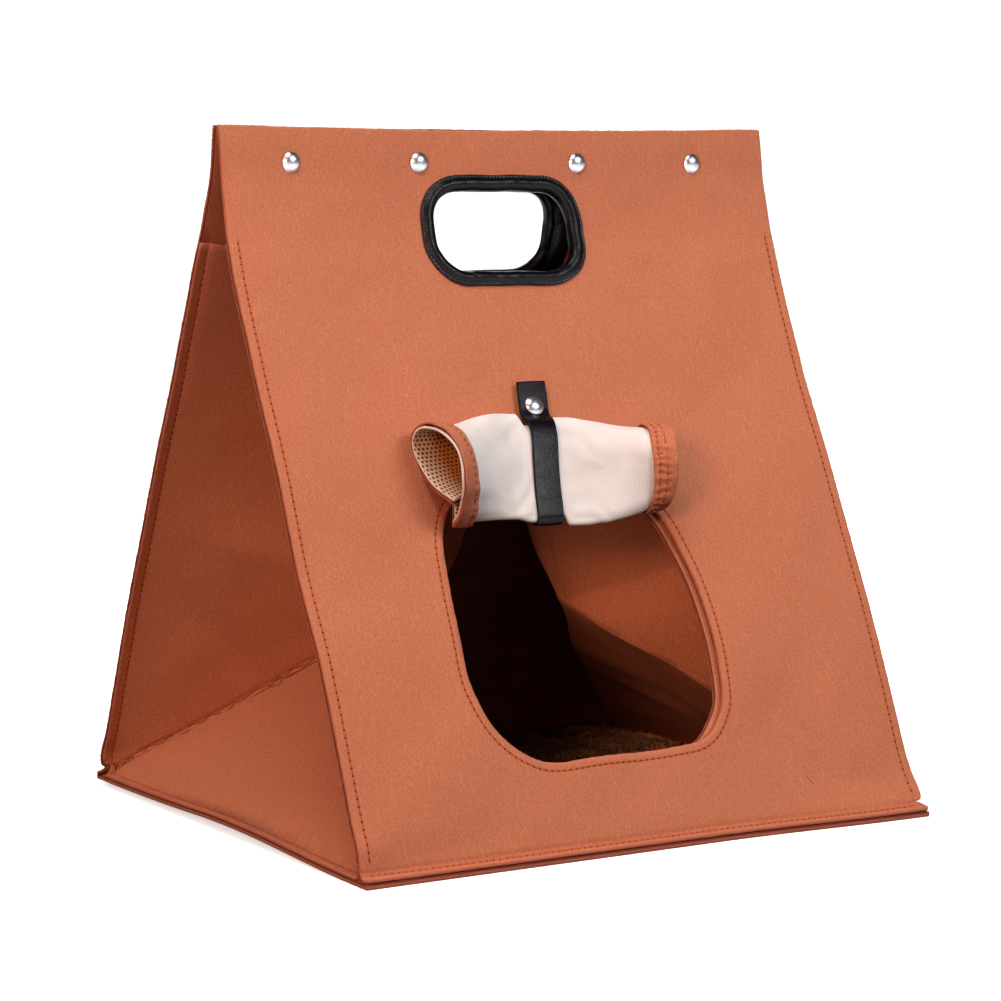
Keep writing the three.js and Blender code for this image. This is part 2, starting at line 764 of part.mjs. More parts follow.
const strapFace = strapSnap.strapMiddle.clone().addScaledVector(strapSnap.direction, STRAP / 2);
setSnap("strap_snap_cap", snapHalf(STRAP_CAP), strapFace, strapSnap.direction);
setSnap("strap_snap_base", snapHalf(STRAP_BASE), strapSnap.face, strapSnap.direction);

const mat = add("floor_mat", matPad(), plush);
mat.position.set(MAT.x, MAT.y, FELT + LAYER_GAP);
mat.rotation.z = MAT.turn;

export default root;
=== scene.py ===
# A felt pet tent that is also a carrier: the looks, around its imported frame.
# Tables and sizes are in millimetres in the frame of the part, +Z up, the front towards -Y.
import math

import bpy
import numpy as np
from mathutils import Matrix, Vector


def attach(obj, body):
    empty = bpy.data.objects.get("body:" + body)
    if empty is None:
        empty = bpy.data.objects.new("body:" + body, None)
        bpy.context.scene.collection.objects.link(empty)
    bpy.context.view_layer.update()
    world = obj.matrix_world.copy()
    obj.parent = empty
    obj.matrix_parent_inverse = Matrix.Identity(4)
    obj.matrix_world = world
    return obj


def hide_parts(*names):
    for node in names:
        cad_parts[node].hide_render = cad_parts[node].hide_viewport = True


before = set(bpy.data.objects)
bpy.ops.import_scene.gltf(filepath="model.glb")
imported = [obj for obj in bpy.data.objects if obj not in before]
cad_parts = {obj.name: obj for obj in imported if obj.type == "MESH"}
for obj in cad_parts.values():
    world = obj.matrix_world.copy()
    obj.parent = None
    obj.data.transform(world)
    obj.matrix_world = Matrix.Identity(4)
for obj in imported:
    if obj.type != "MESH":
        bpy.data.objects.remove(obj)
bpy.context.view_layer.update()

MM = 0.001
FRONT = -1
BACK = 1
rng = np.random.default_rng(24)

# Whole tent
WIDTH = 400
DEPTH = 370
EDGE = WIDTH / 2
FELT = 3.6
LAYER_GAP = 0.4

# Seams: the hem's width, the stitches' distance from the edge, and the felt pressed thinner there
SEAM = 8
STITCH_IN = 5.6
SEAM_X = EDGE - STITCH_IN
SEAM_Y = DEPTH / 2 - STITCH_IN
PRESSED_FELT = 2.35
PRESSED_GAP = 0.1
PRESSED_FROM = 5
PRESSED_REACH = 10.5
PRESSED_IN = FELT + LAYER_GAP - PRESSED_FELT - PRESSED_GAP
BOTTOM_PRESSED_IN = PRESSED_IN + 0.5
GUSSET_PRESSED_IN = PRESSED_IN * 1.3
STITCH_DIP = 0.7
STITCH_DIP_WIDTH = 1.8
NO_SEAM = 9.0
FAR = 99.0
SEAM_THREAD = {"pitch": 4.4, "length": 3.2, "radius": 0.5, "sunk": 0.2, "holes": 2.2}

# Side view of a panel: distance of its middle from the tent's middle plane, and height
SIDE_VIEW = [
    (184.8, 5.8), (180.5, 5.8), (177.2, 7.6), (175.2, 12), (171.5, 24), (150.8, 77), (130.2, 125),
    (106.8, 174), (83, 224), (61.1, 266), (46.4, 297), (33.9, 323), (25.1, 343.5), (17.7, 361),
    (11.2, 381.5), (8.3, 391), (6.3, 401), (5, 411), (3.9, 418), (2.9, 424),
]
SAG = 10
SAG_FROM = 12
SAG_TO = 400
SAG_EASE = 1.5

# Height of the front panel's top edge, across; the back one's is turned round and flatter
TOP_EDGE = {
    "x": (-200, -120, -65, -25, 10, 40, 80, 130, 200),
    "up": (425.2, 423.8, 423.3, 422.5, 423.3, 423.8, 423.6, 424.5, 425.8),
}
BACK_EDGE_SHARE = 0.6

# Relief of the panels: slow waves, the dent and the pucker at each snap, the belly between them, and the
# puffed ends of the bottom hem
WAVE_SEED = {FRONT: 5, BACK: 9}
LONG_WAVE, LONG_WAVE_LENGTH = 0.7, 120
SHORT_WAVE, SHORT_WAVE_LENGTH = 0.3, 46
SNAP_DENT, SNAP_DENT_WIDTH = 0.5, 9
PUCKER, PUCKER_WIDTH, PUCKER_LENGTH = 0.35, 1.8, 20
TOP_BELLY, TOP_BELLY_WIDTH = 0.9, 30
PUFF, PUFF_RUN, PUFF_LENGTH, PUFF_FROM_X, PUFF_EASE = 2.2, 20, 11, 165, 30

DOOR = [
    (-26, 54), (25, 54.3), (48.6, 57.6), (65.6, 73), (71.1, 90), (73.3, 131.8), (67.9, 162.3),
    (59.4, 185.4), (44, 201), (0, 206), (-50, 205.5), (-86, 201), (-98, 184.6), (-102.4, 155.6),
    (-104.8, 123.9), (-105.1, 99), (-94.3, 72.6), (-69.3, 55),
]
DOOR_SEAM_IN = 4.8
NICK = ((117, 30), (122, 25))

# Door facing: its felt, its width, and how far it peeps past the door's right edge
FACING = 3
FACING_WIDTH = 17
FACING_SLACK = 0.64
PEEP, PEEP_FROM_X, PEEP_EASE = 3.8, 34, 26
FACING_HIDDEN = 0.3

SLOT_X = -7.5
SLOT_RUN = 397
SLOT_LENGTH = 102.5
SLOT_HEIGHT = 56
SLOT_CORNER = 21.5

SNAPS_X = (-152, -62.5, 52.5, 143)
SNAP_UP = 403.5

# How far the soft tent stands askew
RIGHT_EDGE_IN = 8.6
TOP_LEFT_IN = 3.7
LOWER_RIGHT_FORWARD = 7.5
LEFT_EDGE_BACK = 7.5
BACK_LEFT_UP = 3.2

# Gussets
FOLD_RADIUS = 3.2
FOLD_OPENS = 4.5
FOLD_BLEND = 45
CORNER_RUN = 9
GUSSET_RUNS = (15, 195, 391)
CORNER_DEPTH = 172.5
CORNER_UP = 2.4
LIFT_START = 150
LIFT_FADE = 60
GUSSETS = {
    "gusset_left": {
        "side": -1, "lift": 5.2, "meeting": (52, 132), "ridge": [(31, 176), (17, 232), (8, 290), (6.5, 322)],
    },
    "gusset_right": {
        "side": 1, "lift": 2.5, "meeting": (44, 125), "ridge": [(22, 175), (9.5, 232), (6, 290), (6.5, 322)],
    },
}
FLOOR_HEM = 2.95
CREASE_RIDGE, CREASE_VALLEY, CREASE_EDGE = 0.9, 0.9, 0.8


# Arithmetic

def smooth(t):
    """Smoothstep of t held between 0 and 1: 3 t^2 - 2 t^3."""
    t = np.clip(t, 0, 1)
    return t * t * (3 - 2 * t)


def bell(distance, width):
    """A soft bump: e to the minus (distance / width) squared."""
    return np.exp(-((distance / width) ** 2))


def lerp(a, b, t):
    """The place a share t of the way from a to b: a + (b - a) t."""
    return a + (b - a) * t


def spline(points, closed=False, steps=24):
    """Dense points of a centripetal Catmull-Rom curve: each span is the cubic whose tangents weigh the
    neighbouring spans by the square root of their lengths."""
    p = np.asarray(points, float)
    if closed:
        run = np.vstack([p[-1:], p, p[:2]])
    else:
        run = np.vstack([2 * p[:1] - p[1:2], p, 2 * p[-1:] - p[-2:-1]])
    a, b, c, d = run[:-3], run[1:-2], run[2:-1], run[3:]

    def span(u, v):
        return np.maximum(np.sqrt(np.linalg.norm(v - u, axis=1, keepdims=True)), 1e-6)

    t0, t1, t2 = span(a, b), span(b, c), span(c, d)
    m1 = ((b - a) / t0 - (c - a) / (t0 + t1) + (c - b) / t1) * t1
    m2 = ((c - b) / t1 - (d - b) / (t1 + t2) + (d - c) / t2) * t1
    t = np.linspace(0, 1, steps, endpoint=False)[None, :, None]
    b, c, m1, m2 = (v[:, None, :] for v in (b, c, m1, m2))
    out = b + m1 * t + (3 * (c - b) - 2 * m1 - m2) * t**2 + (2 * (b - c) + m1 + m2) * t**3
    out = out.reshape(-1, p.shape[1])
    return out if closed else np.vstack([out, p[-1:]])


def lengths(points):
    """Running length along points."""
    return np.concatenate([[0], np.cumsum(np.linalg.norm(np.diff(points, axis=0), axis=1))])


def on_curve(points, at):
    """Points at running lengths, by straight interpolation."""
    run = lengths(points)
    return np.stack([np.interp(at, run, points[:, i]) for i in range(points.shape[1])], -1)


def waves(x, y, size, seed, count=7):
    """Smooth unevenness between about -1 and 1: a sum of sines in random directions, near one wavelength."""
    made = np.random.default_rng(seed)
    angle = made.uniform(0, math.tau, count)
    turns = made.uniform(0.7, 1.5, count) * math.tau / size
    phase = made.uniform(0, math.tau, count)
    total = sum(
        np.sin((x * math.cos(a) + y * math.sin(a)) * k + p) for a, k, p in zip(angle, turns, phase)
    )
    return total / math.sqrt(count)


def unit(v):
    """Vectors divided by their own lengths."""
    return v / np.maximum(np.linalg.norm(v, axis=-1, keepdims=True), 1e-12)


# Panels

SIDE_CURVE = spline(SIDE_VIEW, steps=60)
SIDE_RUN = lengths(SIDE_CURVE)
PANEL_LENGTH = SIDE_RUN[-1]
SIDE_SLOPE = unit(np.gradient(SIDE_CURVE, SIDE_RUN, axis=0))

# Creases of the front panel: ends across and up, width, depth (a ridge where negative). Each wanders a
# little from side to side and fades towards both ends.
CREASE_WANDER, CREASE_WANDER_RUN = 0.8, 4.1
CREASE_FADE = 8
CREASES = [
    {"ends": ((8, 322), (4, 282)), "wide": 1.3, "deep": 0.35},
    {"ends": ((18, 318), (12, 272)), "wide": 1.6, "deep": -0.3},
    {"ends": ((42, 312), (52, 288)), "wide": 1.4, "deep": -0.35},
    {"ends": ((-14, 326), (-20, 300)), "wide": 1.8, "deep": 0.3},
    {"ends": ((60, 316), (74, 268)), "wide": 2.2, "deep": 0.3},
    {"ends": ((-78, 226), (-96, 214)), "wide": 2.0, "deep": 0.4},
    {"ends": ((84, 88), (112, 62)), "wide": 1.8, "deep": 0.75},
    {"ends": ((92, 86), (120, 58)), "wide": 1.7, "deep": -0.7},
    {"ends": ((100, 78), (124, 50)), "wide": 1.7, "deep": 0.8},
    {"ends": ((108, 80), (132, 56)), "wide": 1.7, "deep": -0.65},
    {"ends": ((116, 66), (146, 36)), "wide": 1.8, "deep": 0.75},
    {"ends": ((128, 70), (140, 52)), "wide": 1.6, "deep": -0.5},
]


def pressed(away):
    """1 at a sewn edge and 0 beyond the seam: how far the layers there are pressed together."""
    return smooth((PRESSED_REACH - away) / (PRESSED_REACH - PRESSED_FROM))


def sag_at(x, up):
    """How far a panel's middle hangs in: half a sine wave up the panel, times a parabola across it."""
    across = np.maximum(0, 1 - (x / EDGE) ** 2) ** SAG_EASE
    share = np.clip((up - SAG_FROM) / (SAG_TO - SAG_FROM), 0, 1)
    return SAG * np.sin(math.pi * share) * across


def crease_field(x, up):
    """Sum of the creases: depth times a bell across, fading towards both ends."""
    total = np.zeros(np.broadcast(x, up).shape)
    for crease in CREASES:
        (x0, z0), (x1, z1) = crease["ends"]
        length = math.hypot(x1 - x0, z1 - z0)
        ux, uz = (x1 - x0) / length, (z1 - z0) / length
        run = (x - x0) * ux + (up - z0) * uz
        off = (x - x0) * uz - (up - z0) * ux
        off = off + CREASE_WANDER * np.sin(run / CREASE_WANDER_RUN)
        fade = smooth(run / CREASE_FADE) * smooth((length - run) / CREASE_FADE)
        total = total - crease["deep"] * bell(off, crease["wide"]) * fade
    return total


def relief(x, up, side):
    """How far a panel's cloth stands out of its plain form: slow waves, creases, and at each snap a dent
    with a short pucker above and below. It fades to nothing at the sewn edges."""
    inside = smooth((EDGE - np.abs(x)) / 30) * smooth((up - 8) / 22)
    seed = WAVE_SEED[side]
    slow = LONG_WAVE * waves(x, up, LONG_WAVE_LENGTH, seed)
    slow = slow + SHORT_WAVE * waves(x, up, SHORT_WAVE_LENGTH, seed + 1)
    top = smooth((up - 372) / 20)
    total = slow * inside * (1 - 0.8 * top)
    if side == FRONT:
        total = total + crease_field(x, up) * inside
    for snap in SNAPS_X:
        away = np.hypot(x - snap, up - SNAP_UP)
        total = total - SNAP_DENT * bell(away, SNAP_DENT_WIDTH)
        total = total - PUCKER * bell(x - snap - 1.5, PUCKER_WIDTH) * bell(up - SNAP_UP, PUCKER_LENGTH)
    between = np.min([np.abs(x - snap) for snap in SNAPS_X], axis=0)
    return total + TOP_BELLY * smooth(between / TOP_BELLY_WIDTH) * top * inside


def panel(x, run, out, side, uneven=True):
    """A point of a panel: across, along from its lower raw edge, and out of its outer face. The panel's
    middle follows the side view, shifted along its normal by the sag, the relief and the hem's puff."""
    x, run, out = np.broadcast_arrays(np.asarray(x, float), run, out)
    held = np.clip(run, 0, PANEL_LENGTH)
    middle = [np.interp(held, SIDE_RUN, SIDE_CURVE[:, i]) for i in (0, 1)]
    slope = [np.interp(held, SIDE_RUN, SIDE_SLOPE[:, i]) for i in (0, 1)]
    past = run - held
    shift = FELT / 2 + out - sag_at(x, middle[1])
    if uneven:
        shift = shift + relief(x, middle[1], side)
    shift = shift + PUFF * bell(run - PUFF_RUN, PUFF_LENGTH) * smooth((np.abs(x) - PUFF_FROM_X) / PUFF_EASE)
    deep = middle[0] + slope[0] * past + slope[1] * shift
    up = middle[1] + slope[1] * past - slope[0] * shift
    return np.stack([x, side * deep, up], -1)


def run_at(x, up):
    """How far along the panel its plain outer face reaches a height, by halving."""
    x, up = np.broadcast_arrays(np.asarray(x, float), np.asarray(up, float))
    low, high = np.full(x.shape, 15.0), np.full(x.shape, PANEL_LENGTH)
    for _ in range(26):
        run = (low + high) / 2
        under = panel(x, run, 0, FRONT, uneven=False)[..., 2] < up
        low, high = np.where(under, run, low), np.where(under, high, run)
    return low


def before_front(x, out, up):
    """A point at a distance in front of the front panel's plain outer face, level with it."""
    face = panel(x, run_at(x, up), 0, FRONT, uneven=False)
    return np.stack([face[..., 0], face[..., 1] - out, face[..., 2]], -1)


# Flat outlines, in distance across and along a panel

def rounded_slot(steps=24):
    """Outline of the hand slot: quarter circles at the corners of a rectangle, in evenly spaced points."""
    angle = np.linspace(0, math.pi / 2, steps)
    reach_x, reach_y = SLOT_LENGTH / 2 - SLOT_CORNER, SLOT_HEIGHT / 2 - SLOT_CORNER
    corners = [
        np.stack(
            [
                sx * reach_x + SLOT_CORNER * np.cos(angle + turn),
                sy * reach_y + SLOT_CORNER * np.sin(angle + turn),
            ],
            -1,
        )
        for sx, sy, turn in ((1, 1, 0), (-1, 1, math.pi / 2), (-1, -1, math.pi), (1, -1, 1.5 * math.pi))
    ]
    loop = np.vstack(corners)
    closed = np.vstack([loop, loop[:1]])
    loop = on_curve(closed, np.linspace(0, lengths(closed)[-1], 8 * steps, endpoint=False))
    return loop + (SLOT_X, SLOT_RUN)


def door_outline():
    """Outline of the door: a closed curve through its points, laid flat on the panel."""
    x, up = np.array(DOOR, float).T
    return spline(np.stack([x, run_at(x, up)], -1), closed=True, steps=12)


def outward(loop):
    """Unit steps sideways from each point of a loop, out of the hole that it goes round."""
    along = unit(np.roll(loop, -1, 0) - np.roll(loop, 1, 0))
    return np.stack([along[:, 1], -along[:, 0]], -1)


def offset(loop, away):
    """A loop moved outward by a distance."""
    return loop + away * outward(loop)


def panel_outline(side):
    """The cut outline of a panel, with the side hems flared and rounded at their lower ends, a small notch
    above each bottom hem's tip, and the top edge's dips."""
    top_x = np.linspace(-EDGE, EDGE, 81)
    heights = np.interp(top_x, TOP_EDGE["x"], TOP_EDGE["up"]) - SIDE_VIEW[-1][1]
    heights = np.convolve(np.pad(heights, 4, mode="edge"), np.ones(9) / 9, mode="valid")
    if side == BACK:
        heights = heights[::-1] * BACK_EDGE_SHARE
    top = np.stack([top_x, PANEL_LENGTH + heights], -1)
    right = [
        (EDGE - 4, 0), (EDGE - 0.5, 1.4), (EDGE + 1.8, 4), (EDGE + 0.6, 6), (EDGE - 2.5, 7.6),
        (EDGE - 4.6, 8.3), (EDGE - 4.2, 9.2), (EDGE - 1.6, 9.6), (EDGE + 0.2, 12), (EDGE + 0.7, 18),
        (EDGE + 0.3, 30), (EDGE, 60),
    ]
    right = spline(right, steps=6)
    if side == BACK:
        right[:, 0] = np.where(right[:, 1] < 12, np.maximum(right[:, 0], EDGE - 2.4), right[:, 0])
    left = right[::-1] * (-1, 1)
    if side == FRONT:
        left = [(-EDGE, 60), (-EDGE - 0.2, 30), (-EDGE - 0.3, 8), (-EDGE, 3), (-EDGE + 2, 0)]
        left = spline(left, steps=6)
    return np.vstack([left, [[-EDGE + 12, 0], [EDGE - 12, 0]], right, top[::-1]])


# The tent as it stands: a little askew

def half_depth(up):
    """Distance of a panel's middle from the middle plane at a height."""
    return np.interp(up, SIDE_CURVE[::-1, 1][::-1], SIDE_CURVE[:, 0])


def askew(points):
    """Points of the plain form moved to where the soft tent stands: the front panel's right edge drawn in
    and its lower corner forward, the left edge drawn back, the top left corner drawn in, the back left
    corner lifted. Each move is its size times smooth steps across, deep and up."""
    x, y, up = np.asarray(points, float).T
    right, left = smooth((x - 40) / 160), smooth((-x - 40) / 160)
    front = np.clip(-y / half_depth(up), 0, 1.05)
    front_or_top = lerp(front, 1, smooth((up - 330) / 70))
    across = -RIGHT_EDGE_IN * right * front_or_top * (1 - 0.65 * smooth((up - 240) / 180))
    across = across + TOP_LEFT_IN * smooth((-x - 120) / 80) * smooth((up - 330) / 80)
    deep = -LOWER_RIGHT_FORWARD * right * smooth((-y - 60) / 120) * smooth((26 - up) / 20)
    deep = deep + LEFT_EDGE_BACK * left * front * smooth((up - 118) / 62) * (1 - smooth((up - 90) / 170))
    lift = BACK_LEFT_UP * smooth((-x - 60) / 140) * smooth((y - 40) / 145) * smooth((90 - up) / 90)
    return np.stack([x + across, y + deep, up + lift], -1)


# Meshes

def make_object(name, points, faces, material, flat=None, marks=None):
    """A mesh object from points in millimetres and faces, with its flat place as UVs in metres and one
    float for each point under each name in marks."""
    mesh = bpy.data.meshes.new(name)
    if isinstance(faces, list):
        sizes, corners = np.array([len(f) for f in faces]), np.concatenate(faces)
    else:
        sizes, corners = np.full(len(faces), faces.shape[1]), faces.ravel()
    mesh.vertices.add(len(points))
    mesh.vertices.foreach_set("co", (askew(points) * MM).astype(np.float32).ravel())
    mesh.loops.add(len(corners))
    mesh.loops.foreach_set("vertex_index", corners.astype(np.int32))
    mesh.polygons.add(len(sizes))
    mesh.polygons.foreach_set("loop_start", np.concatenate([[0], np.cumsum(sizes)[:-1]]).astype(np.int32))
    mesh.update(calc_edges=True)
    mesh.validate()
    mesh.polygons.foreach_set("use_smooth", np.full(len(mesh.polygons), True))
    if flat is not None:
        layer = mesh.uv_layers.new(name="flat")
        index = np.empty(len(mesh.loops), np.int32)
        mesh.loops.foreach_get("vertex_index", index)
        layer.data.foreach_set("uv", (np.asarray(flat)[index] * MM).astype(np.float32).ravel())
    for mark, values in (marks or {}).items():
        attribute = mesh.attributes.new(mark, "FLOAT", "POINT")
        attribute.data.foreach_set("value", np.asarray(values, np.float32))
    mesh.materials.append(material)
    made = bpy.data.objects.new(name, mesh)
    bpy.context.scene.collection.objects.link(made)
    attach(made, "root")
    return made


def grid_faces(rows, columns, closed_rows=False, closed_columns=False):
    """Quads of a grid of points, row by row."""
    r = np.arange(rows if closed_rows else rows - 1)
    c = np.arange(columns if closed_columns else columns - 1)
    r, c = (v.ravel() for v in np.meshgrid(r, c, indexing="ij"))
    up, over = (r + 1) % rows, (c + 1) % columns
    return np.stack([r * columns + c, r * columns + over, up * columns + over, up * columns + c], -1)


# A cut edge's rounding, from one skin to the other: how far out on full felt, and level in half thicknesses
RIM = ((0.34, 0.74), (0.56, 0.3), (0.56, -0.3), (0.34, -0.74))
# Share of the cut edges' tone that reaches each skin's edge
RIM_TONE_ON_SKIN = 0.4


def boundary(quads, count):
    """The directed edges that only one face uses."""
    start, end = quads.ravel(), np.roll(quads, -1, axis=1).ravel()
    key, twin = start.astype(np.int64) * count + end, end.astype(np.int64) * count + start
    alone = ~np.isin(key, twin)
    return start[alone], end[alone]


def cloth(
    name, middle, normal, quads, thickness, material, flat, marks=None, fuzz=0.12, touches=-1
):
    """A closed cloth sheet: two skins half its thickness either side of its middle points, joined by a
    rounded and slightly ragged cut edge. Where it lies against another layer the edge is marked for painted
    shade: on the side of the normal where touches is 1, and on the other side where it is -1."""
    count = len(middle)
    half = np.broadcast_to(np.asarray(thickness, float) / 2, (count,))
    start, end = boundary(quads, count)
    edge = np.unique(start)
    place = np.full(count, -1)
    place[edge] = np.arange(len(edge))
    sideways = np.zeros((count, 3))
    outward = np.cross(middle[end] - middle[start], normal[start])
    np.add.at(sideways, start, outward)
    np.add.at(sideways, end, outward)
    sideways = unit(sideways[edge])
    points = [middle + normal * half[:, None], middle - normal * half[:, None]]
    ragged = np.random.default_rng(len(edge)).normal(0, fuzz, (len(RIM), len(edge)))
    for (bulge, level), rough in zip(RIM, ragged):
        points.append(
            middle[edge]
            + sideways * (bulge * half[edge] / (FELT / 2) + rough)[:, None]
            + normal[edge] * (level * half[edge] + 0.5 * rough)[:, None]
        )
    strips = [lambda v: v]
    strips += [lambda v, k=k: 2 * count + k * len(edge) + place[v] for k in range(len(RIM))]
    strips.append(lambda v: v + count)
    faces = [quads, quads[:, ::-1] + count]
    for upper, lower in zip(strips[:-1], strips[1:]):
        faces.append(np.stack([upper(start), lower(start), lower(end), upper(end)], -1))
    rim_tone = np.zeros(2 * count + len(RIM) * len(edge))
    rim_tone[edge] = rim_tone[edge + count] = RIM_TONE_ON_SKIN
    rim_tone[2 * count:] = 1
    # gap: where shade is painted, at the edge that lies against another layer
    gap = np.zeros(len(rim_tone))
    gap[edge + (count if touches < 0 else 0)] = 1
    gap[2 * count:] = np.repeat((0, 0, 0.5, 1) if touches < 0 else (1, 0.5, 0, 0), len(edge))
    skin = np.concatenate([np.ones(count), -np.ones(count), np.zeros(len(RIM) * len(edge))])
    full = {"rim": rim_tone, "skin": skin, "gap": gap}
    marks = {"crease": np.full(count, FAR), "folded": np.zeros(count), **(marks or {})}
    for mark, values in marks.items():
        full[mark] = np.concatenate([values, values, np.tile(values[edge], len(RIM))])
    spread = np.vstack([flat, flat, np.tile(flat[edge], (len(RIM), 1))])
    return make_object(
        name, np.vstack(points), np.vstack(faces), material, flat=spread, marks=full
    )


def turned_out(quads, points, normals, at=0):
    """The quads, turned over if the one at an index faces against the normal there."""
    first = quads[at]
    face = np.cross(points[first[1]] - points[first[0]], points[first[3]] - points[first[0]])
    return quads[:, ::-1] if face @ normals[first[0]] < 0 else quads


def inside_loop(x, y, loop):
    """Which points lie in a closed loop, by counting the edges to their right."""
    found = np.zeros(x.shape, bool)
    ends = np.roll(loop, -1, 0)
    for (x0, y0), (x1, y1) in zip(loop, ends):
        if y0 == y1:
            continue
        crossed = (y0 > y) != (y1 > y)
        found ^= crossed & (x < (x1 - x0) * (y - y0) / (y1 - y0) + x0)
    return found


def nearest_on(points, loops):
    """The nearest place to each point on any of the closed loops."""
    start = np.vstack(loops)
    step = np.vstack([np.roll(loop, -1, 0) for loop in loops]) - start
    size = np.maximum((step**2).sum(1), 1e-9)
    away = points[:, None, :] - start[None]
    share = np.clip((away * step).sum(-1) / size, 0, 1)
    spots = start + share[..., None] * step
    best = np.argmin(((points[:, None, :] - spots) ** 2).sum(-1), 1)
    return spots[np.arange(len(points)), best]


EASED_RINGS = 2
EASING_ROUNDS = 6
EASING = 0.6


def cut_cloth(across, along, outline, holes):
    """Flat points and quads of a sheet cut to an outline with holes: a grid whose cells outside are left
    out, its edge points drawn to the cut and the next ones eased after them, towards the mean of their
    neighbours."""
    x, y = np.meshgrid(across, along)
    rows, columns = x.shape
    mid_x = (x[:-1, :-1] + x[1:, 1:]) / 2
    mid_y = (y[:-1, :-1] + y[1:, 1:]) / 2
    keep = inside_loop(mid_x, mid_y, outline)
    for hole in holes:
        keep &= ~inside_loop(mid_x, mid_y, hole)
    quads = grid_faces(rows, columns)[keep.ravel()]
    used, back = np.unique(quads, return_inverse=True)
    quads = back.reshape(quads.shape)
    points = np.stack([x.ravel(), y.ravel()], -1)[used]
    edge = np.unique(np.concatenate(boundary(quads, len(points))))
    points[edge] = nearest_on(points[edge], [outline, *holes])
    free = np.ones(len(points), bool)
    free[edge] = False
    near = np.zeros(len(points), bool)
    near[quads[np.isin(quads, edge).any(1)]] = True
    for _ in range(EASED_RINGS):
        near[quads[near[quads].any(1)]] = True
    move = free & near
    for _ in range(EASING_ROUNDS):
        total, share = np.zeros_like(points), np.zeros(len(points))
        for corner in range(4):
            a, b = quads[:, corner], quads[:, (corner + 1) % 4]
            for one, other in ((a, b), (b, a)):
                np.add.at(total, one, points[other])
                np.add.at(share, one, 1)
        points[move] = lerp(points[move], (total / np.maximum(share, 1)[:, None])[move], EASING)
    return points, quads


def nearest_seam(*away):
    """The signed distance to whichever seam is nearest."""
    away = np.stack(np.broadcast_arrays(*away))
    return np.take_along_axis(away, np.abs(away).argmin(0)[None], 0)[0]


def distance_to(points, loop):
    """Distance of flat points to a closed loop, negative inside it."""
    spots = nearest_on(points, [loop])
    away = np.linalg.norm(points - spots, axis=1)
    return np.where(inside_loop(points[:, 0], points[:, 1], loop), -away, away)


# Thread

HOLE_GIRTH = 0.4
HOLE_PROUD = 0.42


def thread(
    name, path, normal, material, slot, pitch, length, radius, sunk=0.0, slant=0.0, closed=False, holes=0.0
):
    """A row of stitches: one short six-sided spindle for each pitch along a path, lying in the cloth, and
    where holes has a length one shallow spindle for each needle hole between them, painted dark as its shade."""
    if closed:
        path, normal = np.vstack([path, path[:1]]), np.vstack([normal, normal[:1]])
    run = lengths(path)
    count = max(2, int(run[-1] // pitch))
    made = np.random.default_rng(count)
    at = (np.arange(count) + 0.5) * run[-1] / count
    long, wide, deep = np.full(count, length), np.full(count, radius), np.full(count, sunk)
    tilt = slant + made.normal(0, 0.05, count)
    dark = np.zeros(count)
    if holes:
        at = np.concatenate([at, np.arange(count) * run[-1] / count + 0.01])
        long = np.concatenate([long, np.full(count, holes)])
        wide = np.concatenate([wide, np.full(count, HOLE_GIRTH * holes)])
        deep = np.concatenate([deep, np.full(count, HOLE_GIRTH * holes - HOLE_PROUD)])
        tilt = np.concatenate([tilt, np.zeros(count)])
        dark = np.concatenate([dark, np.ones(count)])
    count = len(at)

    def at_runs(values, runs):
        return np.stack([np.interp(runs, run, values[:, i]) for i in range(3)], -1)

    centre, up = at_runs(path, at), unit(at_runs(normal, at))
    ahead, behind = at_runs(path, at + 0.4), at_runs(path, at - 0.4)
    along = unit(ahead - behind)
    across = np.cross(up, along)
    along = unit(along + across * tilt[:, None])
    across = np.cross(up, along)
    rings = np.array([-1, -0.82, -0.3, 0.3, 0.82, 1])
    girth = np.array([0.35, 0.8, 1, 1, 0.8, 0.35])
    dip = np.array([-1.2, -0.4, 0, 0, -0.4, -1.2])
    angle = np.arange(6) * math.tau / 6
    scale = made.uniform(0.92, 1.06, count) * long / 2
    side = (girth[:, None] * np.cos(angle))[None, ..., None] * wide[:, None, None, None]
    rise = ((girth[:, None] * np.sin(angle)) + dip[:, None])[None, ..., None] * wide[:, None, None, None]
    body = (
        along[:, None, None] * rings[:, None, None] * scale[:, None, None, None]
        + across[:, None, None] * side
        + up[:, None, None] * (rise - deep[:, None, None, None])
    )
    points = (centre[:, None, None] + body).reshape(-1, 3)
    one = grid_faces(6, 6, closed_columns=True)
    caps = np.array([[0, 5, 4, 3], [0, 3, 2, 1], [30, 31, 32, 33], [30, 33, 34, 35]])
    one = np.vstack([one, caps])
    faces = (one[None] + (np.arange(count) * 36)[:, None, None]).reshape(-1, 4)
    flip = np.cross(across[0], along[0]) @ up[0] < 0
    faces = faces if flip else faces[:, ::-1]
    # The end mark paints shade: fully on the needle holes, partly towards each stitch's ends
    ends = np.maximum(np.repeat(dark, 36), np.tile(np.repeat([0.7, 0.4, 0, 0, 0.4, 0.7], 6), count))
    return make_object(name, points, faces, material, marks={"end": ends})


# Materials

